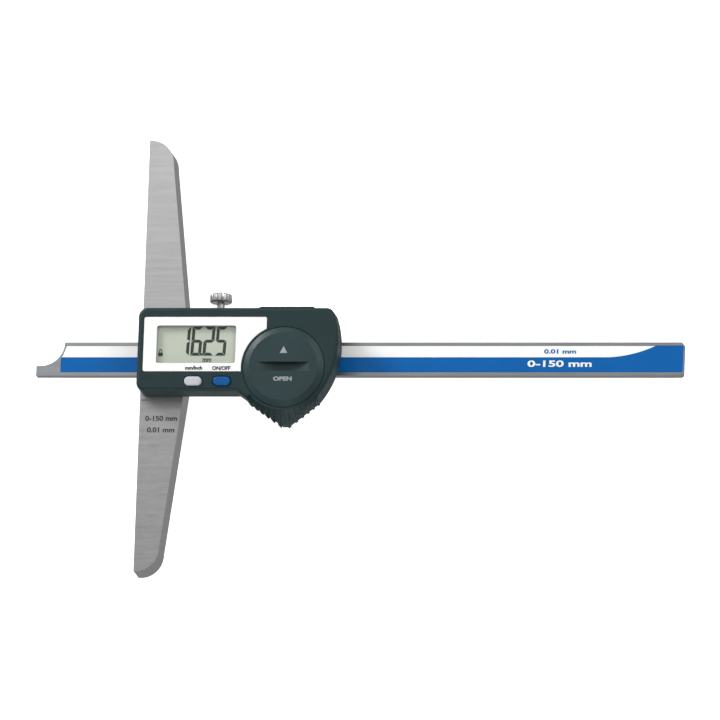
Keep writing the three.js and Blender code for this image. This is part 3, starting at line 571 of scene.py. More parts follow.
def film(name, colour, roughness=(0.3, 0.42), specular=0.3):
    """Printed film with a slightly uneven gloss."""
    look = Look(name, Specular_IOR_Level=specular)
    clouds = look.noise(9.0)
    look.colour(look.blend(clouds, shade(colour, 0.97), shade(colour, 1.02)))
    look.roughness(look.noise(1.2), *roughness)
    look.bump([(look.noise(2.5), 0.004)])
    return look.material


def clear_pane(name):
    """A clear moulded pane that passes light and mirrors a little of it."""
    look = Look(name)
    passed = look.node("BsdfTransparent")
    passed.inputs["Color"].default_value = (0.97, 0.985, 0.975, 1)
    mirrored = look.node("BsdfGlossy")
    smears = look.ranged(look.noise(6.0), 0.03, 0.09)
    look.link(smears, mirrored.inputs["Roughness"])
    tilt = look.node("LayerWeight")
    steep = look.node("Math", operation="POWER")
    steep.inputs[1].default_value = 4
    share = look.node("MapRange")
    share.inputs["To Min"].default_value = 0.03
    share.inputs["To Max"].default_value = 0.6
    look.link(tilt.outputs["Facing"], steep.inputs[0])
    look.link(steep.outputs["Value"], share.inputs["Value"])
    mix = look.node("MixShader")
    look.link(share.outputs["Result"], mix.inputs["Fac"])
    look.link(passed.outputs["BSDF"], mix.inputs[1])
    look.link(mirrored.outputs["BSDF"], mix.inputs[2])
    look.link(mix.outputs["Shader"], look.tree.nodes["Material Output"].inputs["Surface"])
    look.tree.nodes.remove(look.shader)
    return look.material


def circuit(name):
    """Solder mask with copper tracks that show through as paler lines."""
    look = Look(name)
    tracks = look.node("TexBrick")
    tracks.inputs["Scale"].default_value = 0.35
    tracks.inputs["Mortar Size"].default_value = 0.03
    look.link(look.place(), tracks.inputs["Vector"])
    mask = look.blend(look.noise(8.0), (0.012, 0.11, 0.045), (0.02, 0.16, 0.06))
    copper = look.blend(look.noise(2.0), (0.05, 0.26, 0.08), (0.07, 0.3, 0.1))
    look.colour(look.mixed(mask, copper, factor=tracks.outputs["Fac"]))
    look.roughness(look.noise(1.0), 0.25, 0.4)
    look.bump([(tracks.outputs["Fac"], 0.03)])
    return look.material


def pressed_felt(name):
    look = Look(name, Roughness=0.95, Sheen_Weight=0.4)
    fibres = look.noise(0.25, (1, 0.3, 1), 5.0)
    look.colour(look.blend(fibres, (0.035, 0.035, 0.033), (0.09, 0.09, 0.085)))
    look.bump([(fibres, 0.08)])
    return look.material


def make_looks():
    along_rod = (0.02, 1, 1)
    return {
        "rod_steel": brushed("rod_steel", (0.31, 0.33, 0.345), along_rod),
        "bridge_steel": brushed("bridge_steel", (0.385, 0.385, 0.387), (0.06, 1, 1), spread=0.2),
        "frame_steel": brushed("frame_steel", (0.36, 0.365, 0.37), (0.05, 1, 1), (0.35, 0.5)),
        "screw_steel": metal("screw_steel", (0.46, 0.46, 0.45)),
        "lock_steel": metal("lock_steel", (0.46, 0.455, 0.45), (0.3, 0.42), 0.6),
        "spring_metal": metal("spring_metal", (0.55, 0.5, 0.36)),
        "brass": metal("brass", (0.5, 0.37, 0.14)),
        "cell_steel": metal("cell_steel", (0.55, 0.55, 0.54), (0.2, 0.3), 1.0),
        "housing_plastic": plastic("housing_plastic", (0.009, 0.026, 0.028), specular=0.25),
        "cover_plastic": plastic(
            "cover_plastic", (0.013, 0.033, 0.036), (0.38, 0.52), 0.3, specular=0.32
        ),
        "face_plastic": film("face_plastic", WHITE_PRINT, (0.4, 0.55)),
        "label_film": film("label_film", BLUE_PRINT, specular=0.15),
        "button_grey": plastic("button_grey", (0.47, 0.475, 0.5), (0.45, 0.6), 0.3, 0.006, 0.3),
        "button_blue": plastic("button_blue", (0.001, 0.08, 0.27), (0.45, 0.6), 0.3, 0.006, 0.2),
        "clear_window": clear_pane("clear_window"),
        "lcd_glass": film("lcd_glass", (0.6, 0.615, 0.54), (0.3, 0.4), 0.2),
        "board": circuit("board"),
        "chip_plastic": plastic("chip_plastic", (0.02, 0.02, 0.021), (0.5, 0.65), 0.2, 0.008),
        "rubber": plastic("rubber", (0.018, 0.018, 0.019), (0.7, 0.9), 0.25, 0.02, 0.25),
        "felt": pressed_felt("felt"),
    }


def ink(name, colour):
    look = Look(name, Specular_IOR_Level=0.3)
    look.colour(look.blend(look.noise(1.5), shade(colour, 0.9), shade(colour, 1.1)))
    look.roughness(look.noise(0.8), 0.45, 0.6)
    return look.material


# ------------------------------------------------------------------ rod


def rod_outline(low, high):
    tip = (low.x + TIP_LAND, high.y)
    hollow = high.y - low.y - TIP_HEIGHT
    end = high.x - ROD_CORNER
    points = [(low.x, low.y)]
    points += arc((end, low.y + ROD_CORNER), ROD_CORNER, -90, 0, 6)
    points += arc((end, high.y - ROD_CORNER), ROD_CORNER, 0, 90, 6)
    points += arc(tip, hollow, 0, -90, 24)
    points.append((low.x, low.y + TIP_HEIGHT))
    return points


def scale_outline(low, high, inset):
    left = low.x + GROOVE_START + inset
    top = high.y - GROOVE_MARGIN - inset
    slant = (left + GROOVE_SLANT, top)
    return [(left, -top), (high.x - inset, -top), (high.x - inset, top), slant, (left, 0)]


def build_rod():
    low, high = corners("depth_rod")
    floor = high.z - GROOVE_DEPTH
    screw = corners("rod_stop_screw")
    middle = (screw[0] + screw[1]) / 2
    groove = scale_outline(low, high, 0)
    open_end = [(x + OVER if x > high.x - OVER else x, y) for x, y in groove]
    rod = prism(rod_outline(low, high), (low.z, high.z))
    hole = prism(circle(middle.xy, STOP_HOLE), (low.z - OVER, low.z + STOP_HOLE_DEPTH))
    cut(rod, [prism(open_end, (floor, high.z + OVER)), hole])
    fit(soften(rod, 0.14), "rod_steel_body", "rod", "rod_steel", "depth_rod")


def blue_outline(low, high):
    """The blue half of the label, which rises to the label's full height near the back end."""
    outline = scale_outline(low, high, LABEL_GAP)
    bottom, right, top = outline[0][1], high.x - LABEL_GAP, outline[2][1]
    start = high.x - SWOOSH_START
    run = SWOOSH_START - SWOOSH_END
    rise = top - LABEL_SPLIT
    left = outline[4][0]
    points = [(left, bottom), (right, bottom), (right, top), (start + run, top)]
    steps = 24
    for i in range(1, steps + 1):
        share = 1 - i / steps
        points.append((start + run * share, LABEL_SPLIT + rise * share**2))
    slanted = left + GROOVE_SLANT * LABEL_SPLIT / top
    return points + [(slanted, LABEL_SPLIT), (left, 0)]


def build_label():
    low, high = corners("depth_rod")
    under = corners("scale_label")
    base = prism(scale_outline(low, high, LABEL_GAP), (under[0].z, under[1].z))
    white = film("label_white", WHITE_PRINT, specular=0.2)
    fit(soften(base, 0.05), "label_base", "rod", "label_film", "scale_label", look=white)
    blue = prism(blue_outline(low, high), (under[1].z - PRINT, under[1].z + PRINT))
    fit(flatten(blue), "label_blue_print", "rod", "label_film")


# ------------------------------------------------------------------ bridge and frame


def bridge_width(y):
    return BRIDGE_WIDTH - BRIDGE_TAPER * y


def bridge_outline(low, high):
    corner = high.y - BRIDGE_CORNER
    run = bridge_width(corner) - BRIDGE_END_FLAT
    points = [(0, -high.y)]
    points += arc((BRIDGE_END_FLAT, -corner), (run, BRIDGE_CORNER), -90, 0, 32)
    points += [(bridge_width(HUB_HALF), -HUB_HALF), (high.x, -HUB_HALF)]
    points += [(high.x, HUB_HALF), (bridge_width(HUB_HALF), HUB_HALF)]
    points += arc((BRIDGE_END_FLAT, corner), (run, BRIDGE_CORNER), 0, 90, 32)
    points.append((0, high.y))
    return points


def screw_bores(prefix, back):
    """The plain hole and the wide seat for the head of each screw with that name."""
    cutters = []
    for i in range(1, 5):
        low, high = corners(f"{prefix}_{i}")
        middle = ((low + high) / 2).xy
        head = (high.y - low.y) / 2 + SEAT_GAP
        seat = low.z + SCREWS[prefix]["head"] + SEAT_SINK
        shank = SCREWS[prefix]["shank"] + BORE_GAP
        cutters.append(prism(circle(middle, head), (back - OVER, seat)))
        cutters.append(prism(circle(middle, shank), (back - OVER, high.z)))
    return cutters


def shadow_grooves(low, high):
    """Fine grooves across the bridge's front beside the display unit."""
    cutters = []
    for side in (-1, 1):
        middle = side * SHADOW_LINE
        y = (middle - SHADOW_WIDTH / 2, middle + SHADOW_WIDTH / 2)
        cutters.append(block((low.x - OVER, high.x + OVER), y, (high.z - SHADOW_DEPTH, high.z + OVER)))
    return cutters


def build_bridge():
    low, high = corners("bridge")
    ears = corners("slider_frame")
    reach = ears[1].y + EAR_GAP
    bridge = prism(bridge_outline(low, high), (low.z, high.z))
    channel = block((low.x - OVER, high.x + OVER), CHANNEL, (CHANNEL_FLOOR, high.z + OVER))
    pocket = block((EAR_START, high.x + OVER), (-reach, reach), (EAR_BACK, high.z + OVER))
    cut(bridge, [channel, pocket, *screw_bores("bridge_screw", low.z), *shadow_grooves(low, high)])
    fit(soften(bridge, 0.2, 3), "bridge_body", "slider", "bridge_steel", "bridge")


def build_frame():
    low, high = corners("slider_frame")
    start = corners("bridge")[1].x + FRAME_GAP
    y = (low.y, high.y)
    body = block((start, high.x), y, (low.z, high.z))
    ears = block((low.x, start + OVER), y, (EAR_BACK + EAR_GAP, high.z))
    join(body, [ears])
    channel = block((low.x - OVER, high.x + OVER), CHANNEL, (CHANNEL_FLOOR, high.z + OVER))
    gib_holes = []
    for name in ("gib_screw_1", "gib_screw_2", "lock_screw"):
        piece = corners(name)
        middle = (piece[0] + piece[1]) / 2
        radius = LOCK_SHANK if name == "lock_screw" else (piece[1].z - piece[0].z) / 2
        hole = prism(circle((0, 0), radius + THREAD_GAP), (CHANNEL[1] - OVER, high.y + OVER))
        gib_holes.append(along_y(hole, middle.x, middle.z))
    cut(body, [channel, *screw_bores("module_screw", low.z), *gib_holes])
    fit(soften(body, 0.2), "frame_body", "slider", "frame_steel", "slider_frame")


def screw_kind(node):
    """The sizes of a slotted screw, by its node's name with or without a number."""
    return SCREWS.get(node) or SCREWS.get(node.rsplit("_", 1)[0])


def build_screws():
    names = [node for node in frame["nodes"] if screw_kind(node)]
    for node in names:
        kind = screw_kind(node)
        low, high = corners(node)
        middle = ((low + high) / 2).xy
        head = (high.y - low.y) / 2
        rings = [(head - SCREW_CHAMFER, low.z), (head, low.z + SCREW_CHAMFER)]
        rings.append((head, low.z + kind["head"]))
        rings += [(kind["shank"], low.z + kind["head"]), (kind["shank"], high.z)]
        body = turned(rings, middle, SCREW_SIDES)
        y = (middle.y - kind["slot"] / 2, middle.y + kind["slot"] / 2)
        slot = block((middle.x - head, middle.x + head), y, (low.z - OVER, low.z + kind["head"] / 2))
        owner = frame["nodes"][node]["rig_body"]
        fit(soften(cut(body, [slot]), 0.06), node + "_turned", owner, "screw_steel", node)


def fluted(radius, y):
    points = []
    steps = LOCK_FLUTES * FLUTE_STEPS
    for i in range(steps):
        angle = 2 * math.pi * i / steps
        wave = 0.5 - 0.5 * math.cos(LOCK_FLUTES * angle)
        reach = radius - FLUTE_DEPTH * wave**3
        points.append((reach * math.cos(angle), reach * math.sin(angle), y))
    return points


def build_lock_screw():
    low, high = corners("lock_screw")
    radius = (high.x - low.x) / 2
    middle = (low + high) / 2
    under = high.y - LOCK_HEAD
    head = loft("cutter", [
        fluted(radius - LOCK_BEVEL, under),
        fluted(radius, under + LOCK_BEVEL),
        fluted(radius, high.y - LOCK_BEVEL),
        fluted(radius - LOCK_BEVEL, high.y),
    ])
    flare = DIMPLE_RADIUS + DIMPLE_FLARE
    dimple = turned([(DIMPLE_RADIUS, high.y - DIMPLE_DEPTH), (flare, high.y + OVER)])
    neck = turned([(LOCK_SHANK, low.y), (LOCK_SHANK, under + OVER)])
    join(head, [neck])
    cut(head, [dimple])
    along_y(head, middle.x, middle.z)
    fit(soften(head, 0.08, angle=40), "lock_thumbscrew", "lock_screw", "lock_steel", "lock_screw")


# ------------------------------------------------------------------ display unit: housing


SIDE_CENTRE = Vector((CELL_X - SIDE_BACK, SIDE_Y))
SIDE_RADIUS = SIDE_BACK + WELL_OUTER + SIDE_MARGIN
GRIP_TIP = CELL_Y - WELL_OUTER - GRIP_MARGIN


def side_x(y, inset):
    return SIDE_CENTRE.x + math.sqrt((SIDE_RADIUS - inset) ** 2 - (y - SIDE_CENTRE.y) ** 2)


def grip_corners():
    tip = CELL_X - GRIP_OFFSET
    low = -UNIT_HALF - GRIP_DROP
    left_flank = [(tip - GRIP_RUN, -UNIT_HALF), (tip, GRIP_TIP)]
    return left_flank + [(tip + GRIP_FLAT, GRIP_TIP), (side_x(low, 0), low)]


def moved_line(start, end, inset):
    """A line moved to its left, as a point on it and its direction."""
    direction = (Vector(end) - Vector(start)).normalized()
    return Vector(start) + inset * Vector((-direction.y, direction.x)), direction


def at_height(line, y):
    start, direction = line
    return tuple(start + direction * (y - start.y) / direction.y)


def at_side(line, inset):
    start, direction = line
    away = start - SIDE_CENTRE
    along = away.dot(direction)
    reach = math.sqrt(along**2 - away.length_squared + (SIDE_RADIUS - inset) ** 2)
    return start + direction * (reach - along)


def unit_outline(inset):
    """The display unit from the front, moved inwards: a block with a round side and a pointed grip."""
    left = UNIT_LEFT + inset
    top = UNIT_HALF - inset
    corner = max(UNIT_CORNER - inset, LEAST_CORNER)
    grip = grip_corners()
    left_flank = moved_line(grip[0], grip[1], inset)
    right_flank = moved_line(grip[2], grip[3], inset)
    tip = GRIP_TIP + inset
    end = at_side(right_flank, inset)
    start_angle = math.degrees(math.atan2(end.y - SIDE_CENTRE.y, end.x - SIDE_CENTRE.x))
    rise = top - SIDE_CORNER_DROP - SIDE_CENTRE.y
    end_angle = math.degrees(math.asin(rise / (SIDE_RADIUS - inset)))
    top_right = side_x(top, inset)
    points = [(left + corner, -top), at_height(left_flank, -top), at_height(left_flank, tip)]
    points.append(at_height(right_flank, tip))
    side = arc(SIDE_CENTRE, SIDE_RADIUS - inset, start_angle, end_angle, 48)
    points += side
    for i in range(1, 9):
        t = i / 8
        x = (1 - t) ** 2 * side[-1][0] + 2 * t * (1 - t) * top_right
        x += t**2 * (top_right - SIDE_CORNER_RUN)
        points.append((x, (1 - t) ** 2 * side[-1][1] + (1 - (1 - t) ** 2) * top))
    points += arc((left + corner, top - corner), corner, 90, 180, 10)
    points += arc((left + corner, corner - top), corner, 180, 270, 10)[:-1]
    return points


def rounded_block(z):
    loops = [level(unit_outline(0), z[0])]
    steps = 6
    for i in range(steps + 1):
        angle = math.pi / 2 * i / steps
        inset = UNIT_EDGE * (1 - math.cos(angle))
        loops.append(level(unit_outline(inset), z[1] - UNIT_EDGE + UNIT_EDGE * math.sin(angle)))
    return loft("housing", loops)


def grip_cone(front, lowered):
    high = front - GRIP_LIP - lowered
    outer = high - GRIP_SLOPE * (CONE_REACH - WELL_OUTER)
    over = front + OVER
    start = WELL_OUTER + CONE_GAP
    rings = [(start, high), (CONE_REACH, outer), (CONE_REACH, over), (start, over)]
    cone = turned(rings, (CELL_X, CELL_Y), 180, closed=True)
    spread = 2 * CONE_REACH * math.sin(math.radians(GRIP_HALF_ANGLE))
    depth = 2 * CONE_REACH * math.cos(math.radians(GRIP_HALF_ANGLE))
    tip = (CELL_X, CELL_Y)
    wedge = [tip, (CELL_X - spread, CELL_Y - depth), (CELL_X + spread, CELL_Y - depth)]
    return overlap(cone, prism(wedge, (outer - OVER, over + OVER)))


def grip_rib(front, angle, back=None):
    """A rib along the cone. With a back height it fills all of the grip below it as well."""
    start = WELL_INNER + RIB_ROOT
    high = front - GRIP_LIP + RIB_HEIGHT
    low = high - GRIP_SLOPE * (RIB_REACH - WELL_OUTER)
    depth = RIB_HEIGHT + WALL / 2
    under = (high - depth, low - depth) if back is None else (back, back)
    side = [(start, high - depth), (WELL_OUTER, under[0]), (RIB_REACH, under[1])]
    side += [(RIB_REACH, low), (WELL_OUTER, high), (start, high)]
    loops = []
    for across in (RIB_WIDTH / 2, -RIB_WIDTH / 2):
        x = CELL_X - across * math.sin(angle)
        y = CELL_Y + across * math.cos(angle)
        loops.append([(x + r * math.cos(angle), y + r * math.sin(angle), z) for r, z in side])
    return loft("rib", loops)


def grip_ribs(front, back):
    """The ribs on the cone and the stretches that run on down the grip's flanks."""
    flat, tall = [], []
    for i in range(RIB_COUNT // 2):
        away = math.radians(RIB_GAP / 2 + i * RIB_PITCH)
        for angle in (-math.pi / 2 - away, -math.pi / 2 + away):
            flat.append(grip_rib(front, angle))
            tall.append(grip_rib(front, angle, back))
    room = prism(unit_outline(-RIB_PROUD), (back, front))
    skin = prism(unit_outline(-RIB_PROUD), (back, front))
    cut(skin, [prism(unit_outline(WALL / 2), (back - OVER, front + OVER))])
    return [overlap(join(flat[0], flat[1:]), room), overlap(join(tall[0], tall[1:]), skin)]


def port_cut(size, y, gap):
    x = corners("data_port_cover")
    middle = (x[0].x + x[1].x) / 2
    reach = size[0] / 2 + gap
    z = (PORT_MIDDLE - size[1] / 2 - gap, PORT_MIDDLE + size[1] / 2 + gap)
    return block((middle - reach, middle + reach), y, z)


def button_middles():
    return [((corners(name)[0] + corners(name)[1]) / 2).xy for name in ("units_button", "power_button")]


def button_size():
    low, high = corners("units_button")
    return BUTTON_LENGTH, high.y - low.y


def build_shell():
    low, high = corners("housing_shell")
    cell = (CELL_X, CELL_Y)
    inner = high.z - FRONT_WALL
    shell = rounded_block((low.z, high.z))
    cavity = prism(unit_outline(WALL), (low.z - OVER, inner))
    cut(cavity, [grip_cone(high.z, FRONT_WALL)])
    cut(shell, [cavity])
    well = [(WELL_INNER, WELL_BACK), (WELL_OUTER, WELL_BACK)]
    well += [(WELL_OUTER, inner + WELL_LAP), (WELL_INNER, inner + WELL_LAP)]
    join(shell, [turned(well, cell, WELL_SIDES, closed=True)])
    pocket = prism(plate_outline(PLATE_GAP), (high.z - PLATE_DEPTH, high.z + OVER))
    rim = circle(cell, WELL_OUTER - PLATE_GAP, WELL_SIDES)
    cut(pocket, [prism(rim, (low.z, high.z + 2 * OVER))])
    window = prism(display_outline(WINDOW_LEDGE), (inner - OVER, high.z))
    seat = prism(circle(cell, SEAT_RADIUS, WELL_SIDES), (LEDGE[1], high.z + OVER))
    throat = prism(circle(cell, THROAT_RADIUS, WELL_SIDES), (LEDGE[0] - OVER, high.z + OVER))
    length, width = button_size()
    holes = [prism(pill(middle, length + 2 * BUTTON_HOLE, width + 2 * BUTTON_HOLE),
                   (inner - OVER, high.z + OVER)) for middle in button_middles()]
    ports = [port_cut(PORT_COVER, (UNIT_HALF - PLATE_DEPTH, UNIT_HALF + OVER), PORT_GAP)]
    ports.append(port_cut(PORT_SLOT, (UNIT_HALF - PORT_DEPTH, UNIT_HALF + OVER), 0))
    cut(shell, [grip_cone(high.z, 0), pocket, window, seat, throat, *holes, *ports])
    join(shell, grip_ribs(high.z, low.z))
    fit(soften(shell, 0.16), "housing_front", "slider", "housing_plastic", "housing_shell")


def build_base():
    low, high = corners("housing_base")
    top = corners("housing_shell")[0].z
    base = prism(unit_outline(BASE_INSET), (low.z, top))
    cut(base, screw_bores("base_screw", low.z))
    fit(soften(base, 0.12), "housing_back", "slider", "housing_plastic", "housing_base")


# ------------------------------------------------------------------ display unit: front pieces


def display_outline(margin):
    x = (DISPLAY_X[0] - margin, DISPLAY_X[1] + margin)
    return rounded(x, (DISPLAY_Y[0] - margin, DISPLAY_Y[1] + margin), DISPLAY_CORNER)


def plate_outline(margin):
    x = (PLATE_X[0] - margin, PLATE_X[1] + margin)
    return rounded(x, (PLATE_Y[0] - margin, PLATE_Y[1] + margin), PLATE_CORNER)


def build_face_plate():
    low, high = corners("face_plate")
    plate = prism(plate_outline(0), (low.z, high.z))
    through = (low.z - OVER, high.z + OVER)
    notch = prism(circle((CELL_X, CELL_Y), WELL_OUTER, WELL_SIDES), through)
    cut(plate, [notch, prism(display_outline(0), through)])
    fit(soften(plate, 0.12), "face_print_plate", "slider", "face_plastic", "face_plate")


def mirrored(points, x=None, y=None):
    """The points mirrored about an upright line at x or a level line at y."""
    turned_back = list(reversed(points))
    if x is not None:
        return [(2 * x - across, up) for across, up in turned_back]
    return [(across, 2 * y - up) for across, up in turned_back]


def figure_segments(figure, left):
    """The bars of a figure, mitred where they meet, in the figure's own upright frame."""
    width, height, stroke, gap = DIGIT_WIDTH, DIGIT_HEIGHT, DIGIT_STROKE, DIGIT_GAP
    middle = height / 2
    half = stroke / 2
    top = [(gap, height), (stroke + gap, height - stroke)]
    top += mirrored(top, x=width / 2)
    side = [(0, height - gap), (0, middle + gap)]
    side += [(stroke, middle + half + gap), (stroke, height - stroke - gap)]
    belt = [(stroke, middle + half), (gap, middle), (stroke, middle - half)]
    belt += mirrored(belt, x=width / 2)
    bars = {"a": top, "f": side, "g": belt}
    bars["b"] = mirrored(side, x=width / 2)
    bars["d"] = mirrored(top, y=middle)
    bars["e"] = mirrored(side, y=middle)
    bars["c"] = mirrored(bars["b"], y=middle)
    return [[(left + x, y) for x, y in bars[bar]] for bar in SEGMENTS[figure]]


def slanted(points):
    return [(x + y * DIGIT_SLANT, y + DIGIT_BOTTOM) for x, y in points]


def merged(name, outlines, z):
    """One piece made of several flat shapes that don't touch."""
    parts = [prism(outline, z, name) for outline in outlines]
    mesh = bmesh.new()
    for part in parts:
        mesh.from_mesh(part.data)
    joined = bpy.data.meshes.new(name)
    mesh.to_mesh(joined)
    mesh.free()
    for part in parts:
        bpy.data.objects.remove(part)
    piece = bpy.data.objects.new(name, joined)
    bpy.context.scene.collection.objects.link(piece)
    return piece


def lettering(text, middle, size, width, z):
    """Printed letters of a given width, centred on a point, in the surface at height z."""
    curve = bpy.data.curves.new("letters", "FONT")
    curve.body = text
    curve.size = size * MM
    curve.align_x = "CENTER"
    curve.align_y = "CENTER"
    curve.extrude = PRINT * MM
    curve.offset = LETTER_WEIGHT * MM
    curve.resolution_u = 6
    letters = bpy.data.objects.new("letters", curve)
    bpy.context.scene.collection.objects.link(letters)
    graph = bpy.context.evaluated_depsgraph_get()
    mesh = bpy.data.meshes.new_from_object(letters.evaluated_get(graph))
    bpy.data.objects.remove(letters)
    ends = [vertex.co.x / MM for vertex in mesh.vertices]
    mesh.transform(Matrix.Diagonal((width / (max(ends) - min(ends)), 1, 1, 1)))
    mesh.transform(Matrix.Translation((middle[0] * MM, middle[1] * MM, z * MM)))
    piece = bpy.data.objects.new("letters", mesh)
    bpy.context.scene.collection.objects.link(piece)
    return piece


def build_figures():
    front = corners("lcd_panel")[1].z
    outlines = []
    for i, figure in enumerate("1625"):
        left = DIGIT_LEFT + i * DIGIT_PITCH
        outlines += [slanted(points) for points in figure_segments(figure, left)]
    point = DIGIT_LEFT + 2 * DIGIT_PITCH - (DIGIT_PITCH - DIGIT_WIDTH) / 2
    outlines.append(slanted(circle((point, POINT_RADIUS), POINT_RADIUS, 16)))
    dark = ink("lcd_segments", (0.018, 0.022, 0.02))
    figures = merged("figures", outlines, (front - PRINT, front + PRINT))
    fit(figures, "display_figures", "slider", "lcd_glass", look=dark)
    lock_body = rounded(PADLOCK_X, PADLOCK_Y, 0.2, 4)
    shackle = arc(SHACKLE_MIDDLE, SHACKLE_OUTER, 0, 180) + arc(SHACKLE_MIDDLE, SHACKLE_INNER, 180, 0)
    padlock = merged("padlock", [lock_body, shackle], (front - PRINT, front + PRINT))
    fit(padlock, "display_padlock", "slider", "lcd_glass", look=dark)
    sign = lettering("mm", (24.0, -3.4), 2.4, 3.0, front)
    fit(sign, "display_unit_sign", "slider", "lcd_glass", look=dark)


def build_prints():
    plate = corners("face_plate")[1].z
    label = corners("scale_label")[1].z
    steel = corners("bridge")[1].z
    black = ink("print_black", (0.02, 0.022, 0.024))
    white = ink("print_white", (0.8, 0.81, 0.82))
    blue = ink("print_blue", BLUE_PRINT)
    grey = ink("etched_marks", (0.05, 0.05, 0.055))
    # name, text, middle, size, width, height of the surface, body, slot and ink
    prints = [
        ("units_legend", "mm/inch", (19.8, -6.65), 1.7, 5.9, plate, "slider", "face_plastic", black),
        ("power_legend", "ON/OFF", (29.3, -6.75), 1.8, 6.3, plate, "slider", "face_plastic", black),
        ("range_legend", "0-150 mm", (143, -1.75), 3.0, 22, label + PRINT, "rod", "label_film", white),
        ("step_legend", "0.01 mm", (143, 2.55), 2.0, 11, label, "rod", "label_film", blue),
        ("bridge_range", "0-150 mm", (7.6, -22), 2.4, 11, steel, "slider", "bridge_steel", grey),
        ("bridge_step", "0.01 mm", (7.6, -26), 2.4, 9.5, steel, "slider", "bridge_steel", grey),
    ]
    for name, text, middle, size, width, z, body, slot, look in prints:
        fit(lettering(text, middle, size, width, z), name, body, slot, look=look)
    crown = corners("battery_cover")[1].z
    pale = ink("print_pale", (0.3, 0.32, 0.33))
    word = lettering("OPEN", (CELL_X, CELL_Y - WORD_DROP), 1.9, 6.4, crown)
    fit(word, "cover_legend", "battery_cover", "cover_plastic", look=pale)
    pointer = [(CELL_X + across, CELL_Y + up) for across, up in POINTER]
    mark = prism(pointer, (crown - PRINT, crown + PRINT))
    fit(mark, "cover_pointer", "battery_cover", "cover_plastic", look=pale)


def build_button(node, slot):
    low, high = corners(node)
    middle = ((low + high) / 2).xy
    length, width = button_size()
    flange = high.z - BUTTON_FLANGE
    foot_z = (flange - BUTTON_FLANGE_HEIGHT, flange)
    loops = [level(pill(middle, length, width), foot_z[0])]
    for inset, drop in BUTTON_CROWN:
        loops.append(level(pill(middle, length - 2 * inset, width - 2 * inset), high.z - drop))
    body = loft("button", loops)
    foot = block((low.x, high.x), (low.y, high.y), foot_z)
    stem = turned([(STEM_RADIUS, low.z), (STEM_RADIUS, flange)], middle, 32)
    join(body, [foot, stem])
    fit(soften(body, 0.08, angle=50), node + "_cap", node, slot, node)


# ------------------------------------------------------------------ battery cover


def sector(inner, outer, z, middle, half):
    """A short piece of a ring around the cell's centre."""
    outline = arc((CELL_X, CELL_Y), outer, middle - half, middle + half, 8)
    outline += arc((CELL_X, CELL_Y), inner, middle + half, middle - half, 8)
    return prism(outline, z)


def build_cover():
    low, high = corners("battery_cover")
    front = high.z - CROWN_HEIGHT
    flange = front - COVER_FLANGE
    rings = [(COVER_HOLLOW, low.z), (COVER_NECK, low.z), (COVER_NECK, flange)]
    rings += [(COVER_RADIUS, flange), (COVER_RADIUS, front)]
    rings += [(COVER_RADIUS - CROWN_INSET, high.z), (CROWN_FLAT, high.z)]
    cover = turned(rings, (CELL_X, CELL_Y), COVER_SIDES)
    depth = [(COVER_HOLLOW, low.z - OVER), (COVER_HOLLOW, flange - COVER_WEB)]
    hollow = turned(depth, (CELL_X, CELL_Y), COVER_SIDES)
    radius = (COIN_LENGTH**2 / 4 + COIN_DEPTH**2) / (2 * COIN_DEPTH)
    coin = prism(circle((0, 0), radius, 240), (-COIN_WIDTH / 2 + CELL_Y, COIN_WIDTH / 2 + CELL_Y))
    along_y(coin, CELL_X, high.z - COIN_DEPTH + radius)
    cut(cover, [hollow, coin])
    lug_z = (low.z, low.z + LUG_HEIGHT)
    lugs = [sector(*LUG_RADII, lug_z, 90 + 360 / LUGS * i, LUG_HALF_ANGLE) for i in range(LUGS)]
    join(cover, lugs)
    fit(soften(cover, 0.14, 3, 24), "cover_cap", "battery_cover", "cover_plastic", "battery_cover")


# ------------------------------------------------------------------ stage


def build_camera():
    azimuth = math.radians(CAMERA_AZIMUTH)
    elevation = math.radians(CAMERA_ELEVATION)
    towards = Vector((math.cos(elevation) * math.cos(azimuth), math.cos(elevation) * math.sin(azimuth),
                      math.sin(elevation)))
    up = towards.cross(Vector((1, 0, 0))).normalized()
    right = up.cross(towards)
    lens = bpy.data.cameras.new("camera")
    lens.lens = CAMERA_LENS
    lens.sensor_width = CAMERA_SENSOR
    lens.clip_end = CLIP_END
    camera = bpy.data.objects.new("camera", lens)
    bpy.context.scene.collection.objects.link(camera)
    distance = VIEW_WIDTH * CAMERA_LENS / CAMERA_SENSOR
    place = (Vector(CAMERA_TARGET) + towards * distance) * MM
    turn = Matrix((right, up, towards)).transposed().to_4x4()
    camera.matrix_world = Matrix.Translation(place) @ turn
    bpy.context.scene.camera = camera


def area_light(name, place, size, power):
    lamp = bpy.data.lights.new(name, "AREA")
    lamp.shape = "DISK"
    lamp.size = size
    lamp.energy = power
    light = bpy.data.objects.new(name, lamp)
    light.location = place
    aim = Vector(CAMERA_TARGET) * MM - Vector(place)
    light.rotation_euler = aim.to_track_quat("-Z", "Y").to_euler()
    bpy.context.scene.collection.objects.link(light)


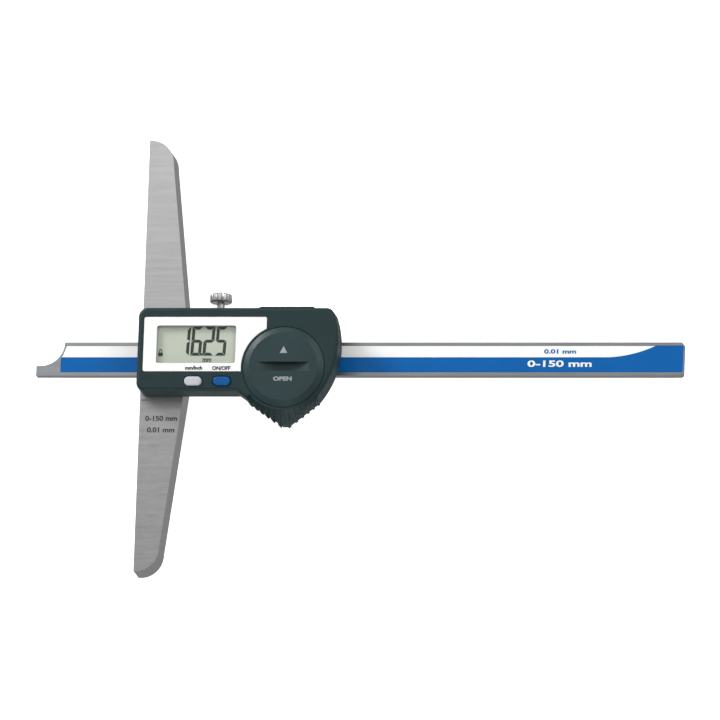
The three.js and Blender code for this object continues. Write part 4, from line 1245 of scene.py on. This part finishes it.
def build_world():
    """A soft studio: bright overhead and to one side, with a dark band across the other side."""
    world = bpy.data.worlds.new("studio")
    bpy.context.scene.world = world
    world.use_nodes = True
    tree = world.node_tree
    where = tree.nodes.new("ShaderNodeTexCoord")
    side = tree.nodes.new("ShaderNodeVectorMath")
    side.operation = "DOT_PRODUCT"
    side.inputs[1].default_value = BRIGHT_SIDE
    ramp = tree.nodes.new("ShaderNodeValToRGB")
    spread = tree.nodes.new("ShaderNodeMapRange")
    spread.inputs["From Min"].default_value = -1
    for position in list(WORLD_STRENGTHS)[1:-1]:
        ramp.color_ramp.elements.new(position)
    for element, (position, strength) in zip(ramp.color_ramp.elements, WORLD_STRENGTHS.items()):
        element.position = position
        element.color = (strength, strength, strength, 1)
    tree.links.new(where.outputs["Generated"], side.inputs[0])
    tree.links.new(side.outputs["Value"], spread.inputs["Value"])
    tree.links.new(spread.outputs["Result"], ramp.inputs["Fac"])
    tree.links.new(ramp.outputs["Color"], tree.nodes["Background"].inputs["Color"])


def build_stage():
    floor = block((-FLOOR_HALF, FLOOR_HALF), (-FLOOR_HALF, FLOOR_HALF), FLOOR_Z, "floor")
    pale = Look("floor_paper", Roughness=0.9, Specular_IOR_Level=0.0, Emission_Strength=0.85)
    pale.shader.inputs["Emission Color"].default_value = (1, 1, 1, 1)
    pale.colour(pale.blend(pale.noise(400.0), (0.93, 0.93, 0.93), (0.95, 0.95, 0.95)))
    floor.data.materials.append(pale.material)
    floor.visible_glossy = False
    build_world()
    for name, light in LIGHTS.items():
        area_light(name, **light)
    bpy.context.scene.view_settings.view_transform = "Standard"


# ------------------------------------------------------------------ the scene


def paint_carried_nodes():
    """Gives every CAD node the material of its slot, for those that stay visible."""
    for part in frame["record"]["subparts"]:
        mesh = frame["nodes"][part["node"]].data
        mesh.materials.clear()
        mesh.materials.append(looks[part["material_slot"]])


for leftover in list(bpy.data.objects):
    bpy.data.objects.remove(leftover)
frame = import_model()
looks = make_looks()
paint_carried_nodes()
build_camera()
build_stage()
build_rod()
build_label()
build_bridge()
build_frame()
build_screws()
build_lock_screw()
build_shell()
build_base()
build_face_plate()
build_figures()
build_prints()
build_button("units_button", "button_grey")
build_button("power_button", "button_blue")
build_cover()
for gib_screw in ("gib_screw_1", "gib_screw_2"):
    fit(refined(gib_screw, 0.05), gib_screw + "_soft", "slider", "screw_steel", gib_screw)
port_cover = refined("data_port_cover")
fit(port_cover, "port_cover_cap", "data_port_cover", "housing_plastic", "data_port_cover")
